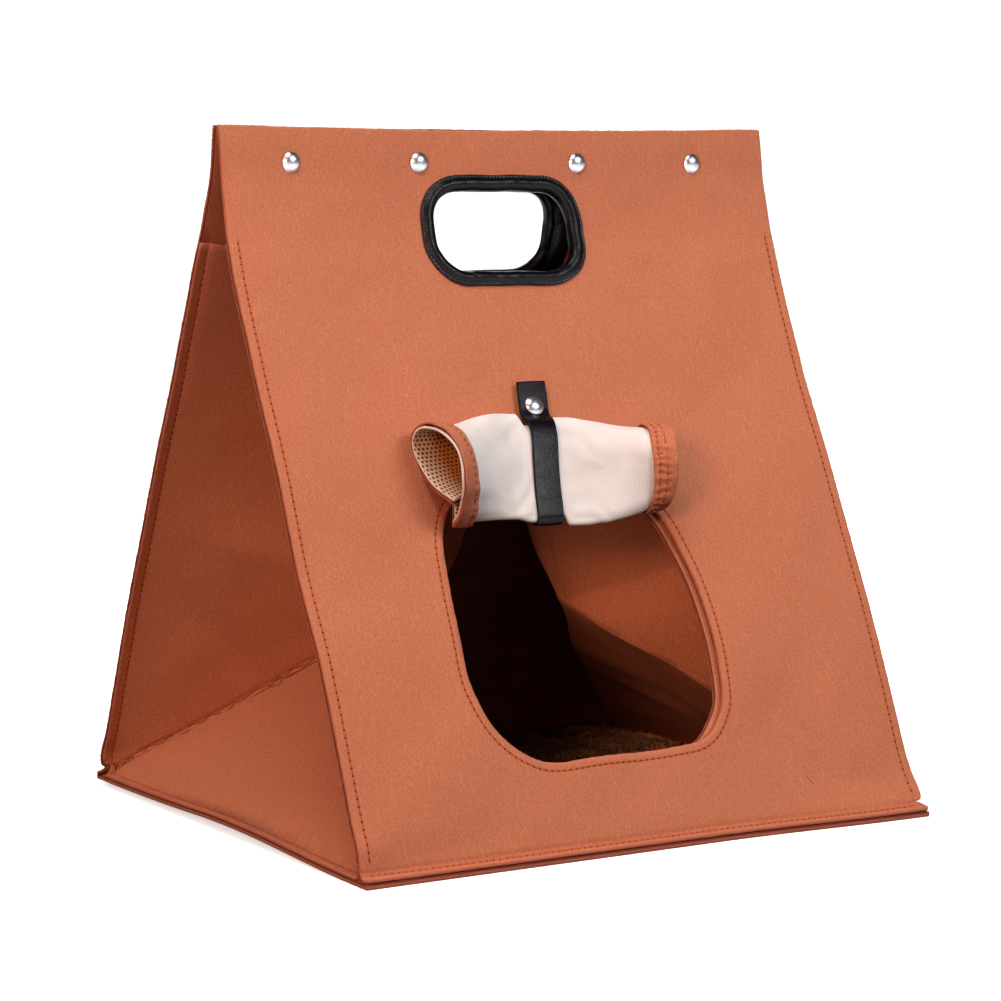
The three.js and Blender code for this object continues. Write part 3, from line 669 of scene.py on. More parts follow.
class Value:
    """One output of a shader node. Arithmetic on it adds Math nodes."""

    def __init__(self, paint, socket):
        self.paint = paint
        self.socket = socket

    def math(self, operation, first, second=0.0, third=0.0):
        """A Math node on values or numbers."""
        return self.paint.node(
            "ShaderNodeMath", {"operation": operation}, {0: first, 1: second, 2: third}
        )

    def __add__(self, other):
        return self.math("ADD", self, other)

    __radd__ = __add__

    def __mul__(self, other):
        return self.math("MULTIPLY", self, other)

    __rmul__ = __mul__

    def __sub__(self, other):
        return self.math("SUBTRACT", self, other)

    def __rsub__(self, other):
        return self.math("SUBTRACT", other, self)

    def __abs__(self):
        return self.math("ABSOLUTE", self)

    def step(self, low, high):
        """Smoothstep from 0 at low to 1 at high."""
        return self.paint.node(
            "ShaderNodeMapRange",
            {"interpolation_type": "SMOOTHSTEP"},
            {"Value": self, "From Min": low, "From Max": high},
        )

    def wave(self, turns):
        """A sine of so many turns for each unit."""
        return self.math("SINE", self * (math.tau * turns))

    def other(self, output):
        """Another output of the same node."""
        return Value(self.paint, self.socket.node.outputs[output])


class Paint:
    """A material under construction, with one method for any node."""

    def __init__(self, name):
        self.material = bpy.data.materials.new(name)
        self.material.use_nodes = True
        self.tree = self.material.node_tree
        self.tree.nodes.clear()

    def node(self, kind, settings=None, sockets=None, output=0):
        """One node: its type, its settings (a ramp's stops among them), the values or links of its sockets,
        and which of its outputs is wanted."""
        made = self.tree.nodes.new(kind)
        for key, value in (settings or {}).items():
            if key == "stops":
                ramp = made.color_ramp
                while len(ramp.elements) < len(value):
                    ramp.elements.new(0.5)
                for element, (position, colour) in zip(ramp.elements, value):
                    element.position = position
                    element.color = (*colour, 1)
            else:
                setattr(made, key, value)
        for key, value in (sockets or {}).items():
            if isinstance(value, Value):
                self.tree.links.new(value.socket, made.inputs[key])
            else:
                made.inputs[key].default_value = value
        return Value(self, made.outputs[output]) if len(made.outputs) else None

    def place(self):
        """The place on the piece, in metres."""
        return self.node("ShaderNodeTexCoord", output=3)

    def flat(self):
        """The place on the cloth before it was sewn, in metres."""
        return self.node("ShaderNodeUVMap", {"uv_map": "flat"})

    def mark(self, name):
        """A float that the piece's points carry."""
        return self.node("ShaderNodeAttribute", {"attribute_name": name}, output=2)

    def noise(self, where, scale, detail=2.0, rough=0.5, flat=False):
        """Soft noise from 0 to 1, with so many spots in a metre."""
        return self.node(
            "ShaderNodeTexNoise",
            {"noise_dimensions": "2D" if flat else "3D"},
            {"Vector": where, "Scale": scale, "Detail": detail, "Roughness": rough},
        )

    def turned(self, where, angle, scale):
        """A place turned about Z and scaled."""
        return self.node(
            "ShaderNodeMapping", None, {"Vector": where, "Rotation": (0, 0, angle), "Scale": scale}
        )

    def mix(self, share, first, second):
        """A colour the share of the way from the first to the second."""
        return self.node(
            "ShaderNodeMix",
            {"data_type": "RGBA", "clamp_factor": True},
            {0: share, 6: first, 7: second},
            output=2,
        )

    def finish(self, height=None, depth=0.0, strength=1.0, **sockets):
        """The surface shader, with a bump of a depth in metres, and constants on its own sockets."""
        if height is not None:
            sockets["Normal"] = self.node(
                "ShaderNodeBump", None, {"Strength": strength, "Distance": depth, "Height": height}
            )
        surface = self.node(
            "ShaderNodeBsdfPrincipled", None, {key.replace("_", " "): v for key, v in sockets.items()}
        )
        self.node("ShaderNodeOutputMaterial", None, {"Surface": surface})
        return self.material


def rgb(red, green, blue):
    """A colour as seen, 0 to 255, in linear light."""
    v = np.array([red, green, blue]) / 255
    linear = np.where(v <= 0.04045, v / 12.92, ((v + 0.055) / 1.055) ** 2.4)
    return (*(float(c) for c in linear), 1.0)


def felt_paint():
    """Needled felt: short fibres in three directions over a fine mottle, a darker, pinker tone at the cut
    edges, and painted shade in the seams' grooves, in two wavy lines beside a fold's crease and where two
    layers meet."""
    dark_fibre, light_fibre = rgb(180, 111, 84), rgb(207, 141, 112)
    long_fibre, patch = rgb(212, 146, 116), rgb(190, 120, 91)
    groove_shade, crease_shade = rgb(172, 88, 50), rgb(104, 40, 22)
    cut_edge, shade_between_layers = rgb(186, 112, 92), rgb(92, 32, 22)
    fibre_lie = ((0.5, 1900, 430), (-0.8, 2100, 470), (1.4, 2000, 560))
    upper_turn, lower_turn = 0.0125, 0.0135

    p = Paint("needled_felt")
    flat = p.flat()
    one, two, three = (
        p.noise(p.turned(flat, angle, (over, along, 1)), 1.0, 1.0, 0.5, flat=True)
        for angle, over, along in fibre_lie
    )
    drawn = p.noise(p.turned(flat, -0.7, (520, 100, 1)), 1.0, 2.0, 0.55, flat=True)
    fine = p.noise(flat, 1300, 3.0, 0.7, flat=True)
    strands = one.math("MAXIMUM", one.math("MAXIMUM", one, two), three)
    fibres = strands * 0.7 + fine * 0.3
    mottle = p.noise(p.place(), 45, 4.0, 0.6)
    colour = p.mix(fibres.step(0.44, 0.78), dark_fibre, light_fibre)
    colour = p.mix(drawn.step(0.52, 0.74) * 0.3, colour, long_fibre)
    colour = p.mix(mottle.step(0.3, 0.7) * 0.35, colour, patch)
    # Painted shade: the felt darkens in the seams' grooves, besides their bump
    groove = 1 - abs(p.mark("seam")).step(0.1, 1.3)
    colour = p.mix(groove * 0.4, colour, groove_shade)
    # Painted shade: two dark wavy lines beside a fold's crease, on one side of the cloth only
    crease = p.mark("crease")
    along = p.node("ShaderNodeSeparateXYZ", None, {"Vector": flat}).other(1)
    drift = along + 0.014 * p.noise(p.place(), 30, 1.0)
    upper = abs(crease + 2.7 + 0.9 * drift.wave(1 / upper_turn))
    lower = abs(crease - 1.3 - 1.1 * drift.wave(1 / lower_turn))
    crease = 1 - upper.math("MINIMUM", upper, lower).step(0.15, 1.0)
    crease = crease * (p.mark("folded") * p.mark("skin")).step(0.2, 0.8)
    colour = p.mix(crease * 0.6, colour, crease_shade)
    # A darker, pinker tone at the cut edges, broken by fine noise
    cut = p.mark("rim") * p.noise(p.place(), 1400, 2.0).step(0.2, 0.5)
    colour = p.mix(cut * 0.8, colour, cut_edge)
    # Painted shade where a cut edge lies against another layer
    colour = p.mix(p.mark("gap").step(0.3, 0.95) * 0.8, colour, shade_between_layers)
    height = fibres + mottle * 0.3 - groove * 0.8
    return p.finish(
        height, 0.0004, 0.6, Base_Color=colour, Roughness=0.92, Specular_IOR_Level=0.15,
        Sheen_Weight=0.08, Sheen_Roughness=0.5, Sheen_Tint=rgb(255, 190, 160),
    )


def thread_paint():
    """Twisted rust sewing thread, with painted shade at its ends, where it dips into the felt, and on the
    needle holes.
    """
    p = Paint("rust_thread")
    twist = p.noise(p.place(), 2600, 1.0)
    colour = p.mix(twist, rgb(170, 86, 52), rgb(196, 110, 74))
    # Painted shade on the needle holes and the stitches' ends
    colour = p.mix(p.mark("end"), colour, rgb(134, 48, 20))
    return p.finish(twist, 0.0002, 0.8, Base_Color=colour, Roughness=0.9, Specular_IOR_Level=0.1)


def leather_paint(name, lit, dark):
    """Black leather-look: a pebbled grain, dull in its valleys and softly shining on top."""
    p = Paint(name)
    cells = p.node(
        "ShaderNodeTexVoronoi", {"feature": "F1"}, {"Vector": p.place(), "Scale": 1150, "Randomness": 1.0}
    )
    grain = cells * 0.6 + p.noise(p.place(), 420, 3.0, 0.6) * 0.8
    colour = p.mix(p.noise(p.place(), 90, 3.0).step(0.35, 0.7), dark, lit)
    rough = 0.26 + 0.2 * p.noise(p.place(), 260, 2.0)
    return p.finish(grain, 0.00022, 0.55, Base_Color=colour, Roughness=rough, Specular_IOR_Level=0.26)


def mesh_paint():
    """Cream air mesh: a fine knit outside, with painted shade between its ribs; inside tan, with staggered
    rows of small round holes painted dark as their shade, and paler near its edges."""
    hole_pitch, knit_over, knit_along = 0.0027, 0.0007, 0.0011
    dull_cream, light_cream, shade_between_ribs = rgb(225, 219, 218), rgb(232, 227, 227), rgb(198, 182, 170)
    inner_tan, inner_edge, hole_shade = rgb(206, 142, 86), rgb(232, 208, 186), rgb(104, 50, 22)

    p = Paint("cream_air_mesh")
    flat = p.flat()
    inner = 1 - p.mark("skin").step(-0.6, -0.2)
    turned = p.turned(flat, 0.05, (1 / hole_pitch, 1 / hole_pitch, 1))
    across = p.node("ShaderNodeSeparateXYZ", None, {"Vector": turned})
    along = across.other(1)
    shifted = across + 0.5 * along.math("MODULO", along.math("FLOOR", along), 2.0)
    across_in = abs(shifted.math("FRACT", shifted) - 0.5)
    along_in = abs(along.math("FRACT", along) - 0.5)
    away = across_in.math("SQRT", across_in * across_in + along_in * along_in)
    hole = (1 - away.step(0.24, 0.34)) * inner
    knit = p.turned(flat, 0.0, (1 / knit_over, 1 / knit_along, 1))
    wales = p.node("ShaderNodeSeparateXYZ", None, {"Vector": knit})
    ribs = abs(wales.wave(0.5)) * (0.6 + 0.4 * abs(wales.other(1).wave(0.5)))
    cloud = p.noise(p.place(), 60, 3.0)
    colour = p.mix(cloud.step(0.3, 0.7), dull_cream, light_cream)
    # Painted shade between the knit's ribs
    colour = p.mix((1 - ribs) * 0.22, colour, shade_between_ribs)
    near_edge = abs(across * hole_pitch).step(0.064, 0.0745)
    colour = p.mix(inner, colour, p.mix(near_edge, inner_tan, inner_edge))
    # Painted shade: the holes are coloured dark
    colour = p.mix(hole * 0.9, colour, hole_shade)
    height = ribs * 0.35 - hole * 1.4
    return p.finish(height, 0.0004, 0.7, Base_Color=colour, Roughness=0.8, Specular_IOR_Level=0.25)


def nickel_paint():
    """Polished nickel with faint handling marks."""
    p = Paint("polished_nickel")
    marks = p.noise(p.place(), 700, 3.0, 0.6)
    rough = 0.24 + 0.14 * marks
    colour = p.mix(marks, rgb(184, 184, 192), rgb(206, 206, 213))
    return p.finish(marks, 0.00003, 0.3, Base_Color=colour, Metallic=1.0, Roughness=rough)


def plush_paint():
    """Gold and cream short pile, paler at the tips: the cream patches are painted light, and the darker bases
    of the tufts and the pad under them painted shade.
    """
    p = Paint("gold_plush")
    patch = p.noise(p.place(), 70, 3.0, 0.6).step(0.35, 0.65)
    gold, cream, root = rgb(112, 66, 32), rgb(190, 140, 84), rgb(74, 44, 20)
    # Painted light: cream patches over the gold
    colour = p.mix(patch, gold, cream)
    # Painted shade: darker towards the tufts' bases and on the pad under them
    colour = p.mix(p.mark("tip"), p.mix(0.6, colour, root), colour)
    return p.finish(
        p.noise(p.place(), 900, 2.0), 0.0006, 0.6, Base_Color=colour, Roughness=0.85,
        Sheen_Weight=0.4, Sheen_Roughness=0.4,
    )


felt = felt_paint()
rust = thread_paint()
leather = leather_paint("black_leather_look", rgb(14, 13, 22), rgb(7, 7, 12))
strap_leather = leather_paint("black_strap_leather", rgb(22, 18, 33), rgb(13, 11, 20))
mesh = mesh_paint()
nickel = nickel_paint()
plush = plush_paint()
black_thread = leather_paint("black_thread", rgb(112, 108, 118), rgb(70, 66, 76))


# Felt panels

def spaced(low, high, step, fine_at, fine_step, fine_reach):
    """Grid lines from low to high, closer together near chosen places."""
    lines = [low]
    while lines[-1] < high - 1e-6:
        near = min(abs(lines[-1] - place) for place in fine_at)
        lines.append(lines[-1] + (fine_step if near < fine_reach else step))
    lines[-1] = high
    return np.array(lines)


slot = rounded_slot()
door = door_outline()

# Grid of a panel: its reach past the cloth, and its spacing in the middle and at the seams
GRID_OVER, GRID_OVER_TOP = 3.5, 2.5
GRID_STEP, GRID_FINE_X, GRID_FINE_RUN = 2.6, 1.2, 1.1
SEWN_RUNS = (12, 392)
SIDE_SEAM_RUNS = (15, 394)
BOTTOM_SEAM_X = 194


def panel_felt(name, side, holes):
    """A panel cut to its outline, thinner where it is pressed at the seams and dented along the stitches.
    Its normals come from points a little to either side."""
    columns = spaced(-EDGE - GRID_OVER, EDGE + GRID_OVER, GRID_STEP, (-EDGE, EDGE), GRID_FINE_X, 11)
    rows = spaced(0, PANEL_LENGTH + GRID_OVER_TOP, GRID_STEP, (6, PANEL_LENGTH), GRID_FINE_RUN, 12)
    flat, quads = cut_cloth(columns, rows, panel_outline(side), holes)
    x, run = flat.T
    sewn = (run > SEWN_RUNS[0]) & (run < SEWN_RUNS[1])
    seams = [np.where(sewn, np.abs(x) - SEAM_X, NO_SEAM), run - STITCH_IN]
    if side == FRONT:
        seams.append(distance_to(flat, door) - DOOR_SEAM_IN)
    seam = nearest_seam(*seams)
    sides = pressed(EDGE - np.abs(x)) * smooth((398 - run) / 10)
    bottom = pressed(run)
    thick = lerp(FELT, PRESSED_FELT, np.maximum(sides, bottom))
    thick = thick - STITCH_DIP * bell(seam, STITCH_DIP_WIDTH)
    place = -thick / 2 - BOTTOM_PRESSED_IN * bottom
    middle = panel(x, run, place, side)
    step = 0.5
    wide = panel(x + step, run, place, side) - panel(x - step, run, place, side)
    long = panel(x, run + step, place, side) - panel(x, run - step, place, side)
    normal = unit(np.cross(wide, long))
    if side == BACK:
        normal = -normal
        quads = quads[:, ::-1]
    made = cloth(
        f"{name}_felt", middle, normal, quads, thick, felt, flat, {"seam": seam}
    )
    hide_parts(name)


panel_felt("front_panel", FRONT, [slot, door])
panel_felt("back_panel", BACK, [slot])


def panel_row(flat, side, out=0.0):
    """Path and normals of a seam drawn on a panel."""
    x, run = np.asarray(flat, float).T
    path = panel(x, run, out, side)
    return path, unit(panel(x, run, out + 1, side) - path)


def panel_seams(name, side):
    """The stitches up both sides of a panel and along its bottom hem."""
    for label, sign in (("left", -1), ("right", 1)):
        line = np.stack([np.full(200, sign * SEAM_X), np.linspace(*SIDE_SEAM_RUNS, 200)], -1)
        path, normal = panel_row(line, side)
        thread(f"{name}_seam_{label}", path, normal, rust, "felt", **SEAM_THREAD)
    line = np.stack([np.linspace(-BOTTOM_SEAM_X, BOTTOM_SEAM_X, 200), np.full(200, STITCH_IN)], -1)
    path, normal = panel_row(line, side, -BOTTOM_PRESSED_IN)
    thread(f"{name}_seam_bottom", path, normal, rust, "felt", **SEAM_THREAD)


panel_seams("front", FRONT)
panel_seams("back", BACK)

nick_x, nick_up = (np.linspace(*ends, 12) for ends in zip(*NICK))
path, normal = panel_row(np.stack([nick_x, run_at(nick_x, nick_up)], -1), FRONT)
thread("nick", path, normal, rust, "felt", pitch=3.4, length=4.2, radius=0.45, sunk=0.1)

path, normal = panel_row(offset(door, DOOR_SEAM_IN), FRONT)
thread(
    "door_seam", path, normal, rust, "felt", pitch=4.2, length=3.0, radius=0.5, sunk=0.15, slant=0.12,
    closed=True, holes=2.0,
)


# Door facing: a felt ring behind the door's edge, peeping past it on the right

def door_facing():
    """Rows of points at set distances out from the door's edge, all moved in where the ring peeps out."""
    widths = np.concatenate([[0, 0.8, 1.8], np.linspace(3.2, FACING_WIDTH, 7)])
    peep = -PEEP * smooth((door[:, 0] - PEEP_FROM_X) / PEEP_EASE) + FACING_HIDDEN
    flat = door[:, None] + outward(door)[:, None] * (peep[:, None] + widths[None])[..., None]
    rows, columns = flat.shape[:2]
    flat = flat.reshape(-1, 2)
    x, run = flat.T
    slack = np.tile(np.where(widths < 3, FACING_SLACK, 0), rows)
    middle = panel(x, run, -FELT - LAYER_GAP - FACING / 2 - slack, FRONT)
    normal = unit(panel(x, run, 1, FRONT) - panel(x, run, 0, FRONT))
    quads = turned_out(grid_faces(rows, columns, closed_rows=True), middle, normal)
    made = cloth(
        "door_facing_felt", middle, normal, quads, FACING, felt, flat,
        {"seam": np.full(len(flat), NO_SEAM)}, touches=1,
    )
    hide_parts("door_facing")


door_facing()


# Floor

def lift_at(x, y, most):
    """How far the floor's side edges lift: a parabola over the last stretch across, times the square of a
    cosine along."""
    ramp = np.clip((np.abs(x) - LIFT_START) / (EDGE - LIFT_START), 0, 1)
    along = np.cos(math.pi * np.clip(y / (DEPTH / 2), -1, 1) / 2)
    return most * ramp**2 * along**2


def floor_felt():
    """A flat grid, thinner at its hem and lifted at its side edges."""
    xs = spaced(-EDGE, EDGE, 5, (-EDGE, EDGE), 1.3, 10)
    ys = spaced(-DEPTH / 2, DEPTH / 2, 5, (-DEPTH / 2, DEPTH / 2), 1.3, 10)
    x, y = (v.ravel() for v in np.meshgrid(xs, ys))
    most = np.where(x < 0, GUSSETS["gusset_left"]["lift"], GUSSETS["gusset_right"]["lift"])
    edge_away = np.minimum(EDGE - np.abs(x), DEPTH / 2 - np.abs(y))
    thick = lerp(FELT, FLOOR_HEM, pressed(edge_away))
    middle = np.stack([x, y, thick / 2 + lift_at(x, y, most)], -1)
    normal = np.tile([0.0, 0, 1], (len(x), 1))
    seam = nearest_seam(np.abs(x) - SEAM_X, np.abs(y) - SEAM_Y)
    flat = np.stack([x, y], -1)
    made = cloth(
        "floor_felt", middle, normal, grid_faces(len(ys), len(xs)), thick, felt, flat,
        {"seam": seam}, touches=1,
    )
    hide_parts("floor_panel")


floor_felt()


# Gussets

GUSSET_FLOOR = FELT + LAYER_GAP + FELT / 2
HEM_STEPS = np.array([0, 1.2, 2.4, 3.6, 5.2, 6, 6.8, SEAM])
HEM_FLAT_STEP = 1.6
FACE_SHARES = np.concatenate([
    np.linspace(0, 0.12, 7)[1:],
    np.linspace(0.12, 0.9, 24)[1:],
    [0.93, 0.95, 0.965, 0.976, 0.984, 0.991, 0.996],
])
FOLD_ENDS = np.array([0.003, 0.007, 0.012, 0.018, 0.026, 0.036, 0.05])
FOLD_SHARES = np.concatenate(
    [[-1], -1 + FOLD_ENDS, np.linspace(-0.93, 0.93, 41), (1 - FOLD_ENDS)[::-1], [1]]
)[None]


def fold(runs, lift, meeting, ridge):
    """The points between a gusset's two creases, and how round each row is, from 0 to 1. A row is a straight
    line at the floor and turns into a half circle: y is half its width times the share across or its sine,
    x goes out by the radius times 1 minus the cosine. The rows' middles rise straight from the floor's
    corner to the meeting point and then follow the ridge."""
    fold_run, high_run = GUSSET_RUNS[1:]
    corner = np.array([EDGE - SEAM, CORNER_DEPTH, GUSSET_FLOOR + CORNER_UP])
    peak = np.array([meeting[0], 0, meeting[1]])
    ridge = spline([peak, *([x, 0, up] for x, up in ridge)], steps=30)
    folded = fold_run - CORNER_RUN
    up = runs - CORNER_RUN
    low = np.minimum(1, up / folded)
    high = np.clip((runs - fold_run) / (high_run - fold_run), 0, 1)
    inner = np.where(
        (runs > fold_run)[:, None],
        on_curve(ridge, high * lengths(ridge)[-1]),
        lerp(corner, peak, low[:, None]),
    )
    opened = smooth((runs - fold_run) / 60) * (1 - 0.7 * smooth((runs - 290) / 90))
    radius = FOLD_RADIUS + FOLD_OPENS * opened
    half = lerp(CORNER_DEPTH, radius, low)
    turn = smooth((up - folded + FOLD_BLEND) / FOLD_BLEND)
    raised = np.maximum(0, 1 - up / LIFT_FADE)
    angle = FOLD_SHARES * math.pi / 2
    y = half[:, None] * lerp(FOLD_SHARES, np.sin(angle), turn[:, None])
    x = inner[:, :1] + (turn * radius)[:, None] * (1 - np.cos(angle))
    z = inner[:, 2:] + raised[:, None] * lift_at(x, y, lift)
    return np.stack([x, y, z], -1), turn


def sewn_fold(side, runs, folded, lift):
    """The whole gusset's grid: on both sides of the fold a straight face and the hem on the panel, and
    below it the rows sewn to the floor. With it comes how many columns each side has."""
    sides = []
    hem_out = -FELT - LAYER_GAP - FELT / 2 + GUSSET_PRESSED_IN * pressed(HEM_STEPS)
    for facing, crease in ((FRONT, folded[:, 0]), (BACK, folded[:, -1])):
        seam = panel(side * EDGE, runs[:, None], hem_out[None], facing, uneven=False)
        edge = seam * (side, 1, 1) - np.array([1.0, 0, 0]) * HEM_STEPS[None, :, None]
        face = lerp(edge[:, -1:], crease[:, None], FACE_SHARES[None, :, None])
        block = np.concatenate([edge, face], 1)
        sides.append(block if facing == FRONT else block[:, ::-1])
    grid = np.concatenate([sides[0], folded, sides[1]], 1)
    pad = sides[0].shape[1]
    low_hem = HEM_STEPS[:-1, None]
    low_x, low_y = EDGE - low_hem, FOLD_SHARES * CORNER_DEPTH
    low_up = GUSSET_FLOOR - GUSSET_PRESSED_IN * pressed(low_hem) + lift_at(low_x, low_y, lift)
    rows = np.stack(np.broadcast_arrays(low_x, low_y, low_up), -1)
    towards = np.linspace(0, 1, pad)[None, :, None]
    first_corner = lerp(grid[:1, :pad], rows[:, :1], towards**0.5)
    last_corner = lerp(grid[:1, -pad:], rows[:, -1:], towards[:, ::-1] ** 0.5)
    return np.concatenate([np.concatenate([first_corner, rows, last_corner], 1), grid], 0), pad


def grid_normals(grid):
    """Normals of a grid of points, from each one's neighbours along its row and column."""
    next_row = np.concatenate([grid[1:], grid[-1:]], 0)
    last_row = np.concatenate([grid[:1], grid[:-1]], 0)
    next_column = np.concatenate([grid[:, 1:], grid[:, -1:]], 1)
    last_column = np.concatenate([grid[:, :1], grid[:, :-1]], 1)
    return unit(np.cross(next_column - last_column, next_row - last_row))


def gusset(name, side, lift, meeting, ridge):
    """A folded side. Each row runs at one distance along the panels: flat from the seam to the crease, then
    round the fold. Beside each crease stand a soft ridge and two shallow valleys, which waver with two
    sines, and slow waves run over the rest."""
    low_run, fold_run, high_run = GUSSET_RUNS
    runs = np.concatenate([
        np.linspace(low_run, 60, 26)[:-1],
        np.linspace(60, fold_run, 46)[:-1],
        np.linspace(fold_run, high_run, 54),
    ])
    folded, turn = fold(runs, lift, meeting, ridge)
    grid, pad = sewn_fold(side, runs, folded, lift)
    normal = grid_normals(grid)
    low_rows = len(HEM_STEPS) - 1

    flat_rows = np.concatenate([low_run - SEAM + np.arange(low_rows) * HEM_FLAT_STEP, runs])
    widths = np.linalg.norm(np.diff(grid, axis=1), axis=2)
    across = np.concatenate([np.zeros((len(grid), 1)), np.cumsum(widths, 1)], 1)
    across = across - across[:, -1:] / 2
    flat = np.stack([across, np.repeat(flat_rows[:, None], across.shape[1], 1)], -1)

    wobble = 0.8 * np.sin(flat_rows / 4.6) + 0.5 * np.sin(flat_rows / 2.3 + 1)
    creased = smooth((np.concatenate([np.zeros(low_rows), 1 - turn]) - 0.15) * 3)
    past_first, before_last = across - across[:, pad:pad + 1], across[:, -pad - 1:-pad] - across
    to_crease = np.minimum(past_first, before_last) + wobble[:, None]
    bulge = CREASE_RIDGE * bell(to_crease + 0.6, 1.9)
    bulge = bulge - CREASE_VALLEY * bell(to_crease + 3.6, 1.6) - CREASE_EDGE * bell(to_crease - 2.6, 1.6)
    bulge = bulge * creased[:, None]
    slow = 1.1 * waves(across, flat_rows[:, None], 130, 31 + side)
    slow = slow + 0.4 * waves(across, flat_rows[:, None], 50, 41)
    reach = across[:, -1:] - np.abs(across)
    calm = smooth((reach - 8) / 40) * smooth((flat_rows - 30) / 50)[:, None]
    calm = calm * (1 - 0.7 * smooth((flat_rows - 300) / 60))[:, None]
    place = grid + normal * (bulge + slow * calm)[..., None]
    place[..., 0] *= side
    normal[..., 0] *= side
    if side < 0:
        normal = -normal

    points, normals, spread = (v.reshape(-1, v.shape[-1]) for v in (place, normal, flat))
    quads = grid_faces(*across.shape)
    quads = turned_out(quads, points, normals, len(quads) // 2)
    to_stitches, to_hem = np.full(len(grid), NO_SEAM), np.full(len(grid), FAR)
    to_stitches[:len(HEM_STEPS)] = HEM_STEPS - STITCH_IN
    to_hem[:len(HEM_STEPS)] = HEM_STEPS
    thick = lerp(FELT, PRESSED_FELT, pressed(np.minimum(reach, to_hem[:, None]))).ravel()
    # The crease and folded marks place the felt's painted crease shade
    marks = {
        "seam": nearest_seam(reach - STITCH_IN, to_stitches[:, None]).ravel(),
        "crease": to_crease.ravel(),
        "folded": np.repeat(side * creased[:, None], across.shape[1], 1).ravel(),
    }
    made = cloth(
        f"{name}_felt", points, normals, quads, thick, felt, spread, marks, touches=-side
    )
    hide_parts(name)


def gusset_seams(label, sign):
    """The stitches inside a gusset, along the floor and up both panels."""
    lift = GUSSETS[f"gusset_{label}"]["lift"]
    y = np.linspace(-165, 165, 160)
    x = np.full(len(y), sign * SEAM_X)
    top = 2 * FELT + LAYER_GAP - GUSSET_PRESSED_IN - (FELT - PRESSED_FELT) / 2 + lift_at(x, y, lift)
    up_way = np.tile([0.0, 0, 1], (len(y), 1))
    thread(f"hem_seam_{label}", np.stack([x, y, top], -1), up_way, rust, "felt", **SEAM_THREAD)
    for facing, word in ((FRONT, "front"), (BACK, "back")):
        runs = np.linspace(17, 382, 180)
        out = -2 * FELT - LAYER_GAP + GUSSET_PRESSED_IN + (FELT - PRESSED_FELT) / 2
        inner = panel(sign * SEAM_X, runs, out, facing, uneven=False)
        way = unit(inner - panel(sign * SEAM_X, runs, out + 0.4, facing, uneven=False))
        thread(f"gusset_seam_{label}_{word}", inner, way, rust, "felt", **SEAM_THREAD)


for name, given in GUSSETS.items():
    gusset(name, **given)
gusset_seams("left", -1)
gusset_seams("right", 1)


# Hand slots: leather-look binding folded over the felt's edge

# Its section: distance out from the slot's edge, and out of the panel's outer face
BINDING = [
    (6.9, 0.3), (7.4, 0.8), (7.3, 1.2), (6.9, 1.35), (6.3, 1.15), (5.6, 0.95), (5.0, 1.3), (4.0, 2.3),
    (2.4, 2.9), (0.6, 2.7), (-1.1, 1.8), (-2.1, 0.3), (-2.5, -1.8), (-2.1, -3.9), (-1.1, -5.4), (0.6, -6.2),
    (2.4, -6.4), (4.0, -5.8), (5.0, -4.9), (5.6, -4.55), (6.3, -4.75), (6.9, -4.95), (7.3, -4.8),
    (7.4, -4.4), (6.9, -3.9), (4, -3.95), (-0.4, -3.9), (-0.4, 0.3), (4, 0.35),
]
GAP_SHADE_FLANGE = 9
LAP = 1.1
BINDING_STITCH_IN = 6.1
BINDING_THREAD = {"pitch": 2.5, "length": 1.7, "radius": 0.34, "closed": True}


def binding(name, side, lap_at):
    """A puffy section carried round the slot, uneven along it, with a lap where its two ends meet. At the
    back its inner flange is widened across the gap between the two panels, a dark sheet that stands in for
    the shade there."""
    closed = np.vstack([slot, slot[:1]])
    total = lengths(closed)[-1]
    at = np.linspace(0, total, 220, endpoint=False)
    loop = on_curve(closed, at)
    section = np.array(BINDING)
    if side == BACK:
        # A dark sheet for shade: the back binding's inner flange reaches across the gap between the panels
        section[:, 0] += GAP_SHADE_FLANGE * ((section[:, 1] < -3.8) & (section[:, 0] > 5.3))
    puff = 0.35 * waves(at, at * 0, 34, 3 + side) + 0.15 * waves(at, at * 0, 11, 4 + side)
    lap_run = (at - lap_at + total / 2) % total - total / 2
    lap = LAP * smooth((lap_run + 1.0) / 1.2) * smooth((18 - lap_run) / 16)
    face = (section[:, 0] < 4.5) & ((section[:, 1] > 1.2) | (section[:, 1] < -4.8))
    out = section[None, :, 1] + np.sign(section[:, 1] + 1.8) * face * (puff + lap)[:, None]
    off = section[None, :, 0] + 0.25 * waves(at, at * 0, 23, 8)[:, None]
    flat = loop[:, None] + outward(loop)[:, None] * off[..., None]
    points = panel(flat[..., 0], flat[..., 1], out, side)
    rows, columns = points.shape[:2]
    quads = grid_faces(rows, columns, closed_rows=True, closed_columns=True)
    if side == FRONT:
        quads = quads[:, ::-1]
    made = make_object(name, points.reshape(-1, 3), quads, leather)
    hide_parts(name.replace("_leather", ""))
    x, run = offset(slot, BINDING_STITCH_IN).T
    for word, out_at in (("outer", 1.3), ("inner", -4.9)):
        path = panel(x, run, out_at, side)
        way = unit(panel(x, run, out_at + np.sign(out_at), side) - path)
        thread(f"{name}_{word}_thread", path, way, black_thread, "leather", **BINDING_THREAD)


binding("handle_binding_front_leather", FRONT, lap_at=176)
binding("handle_binding_back_leather", BACK, lap_at=60)


# Snaps

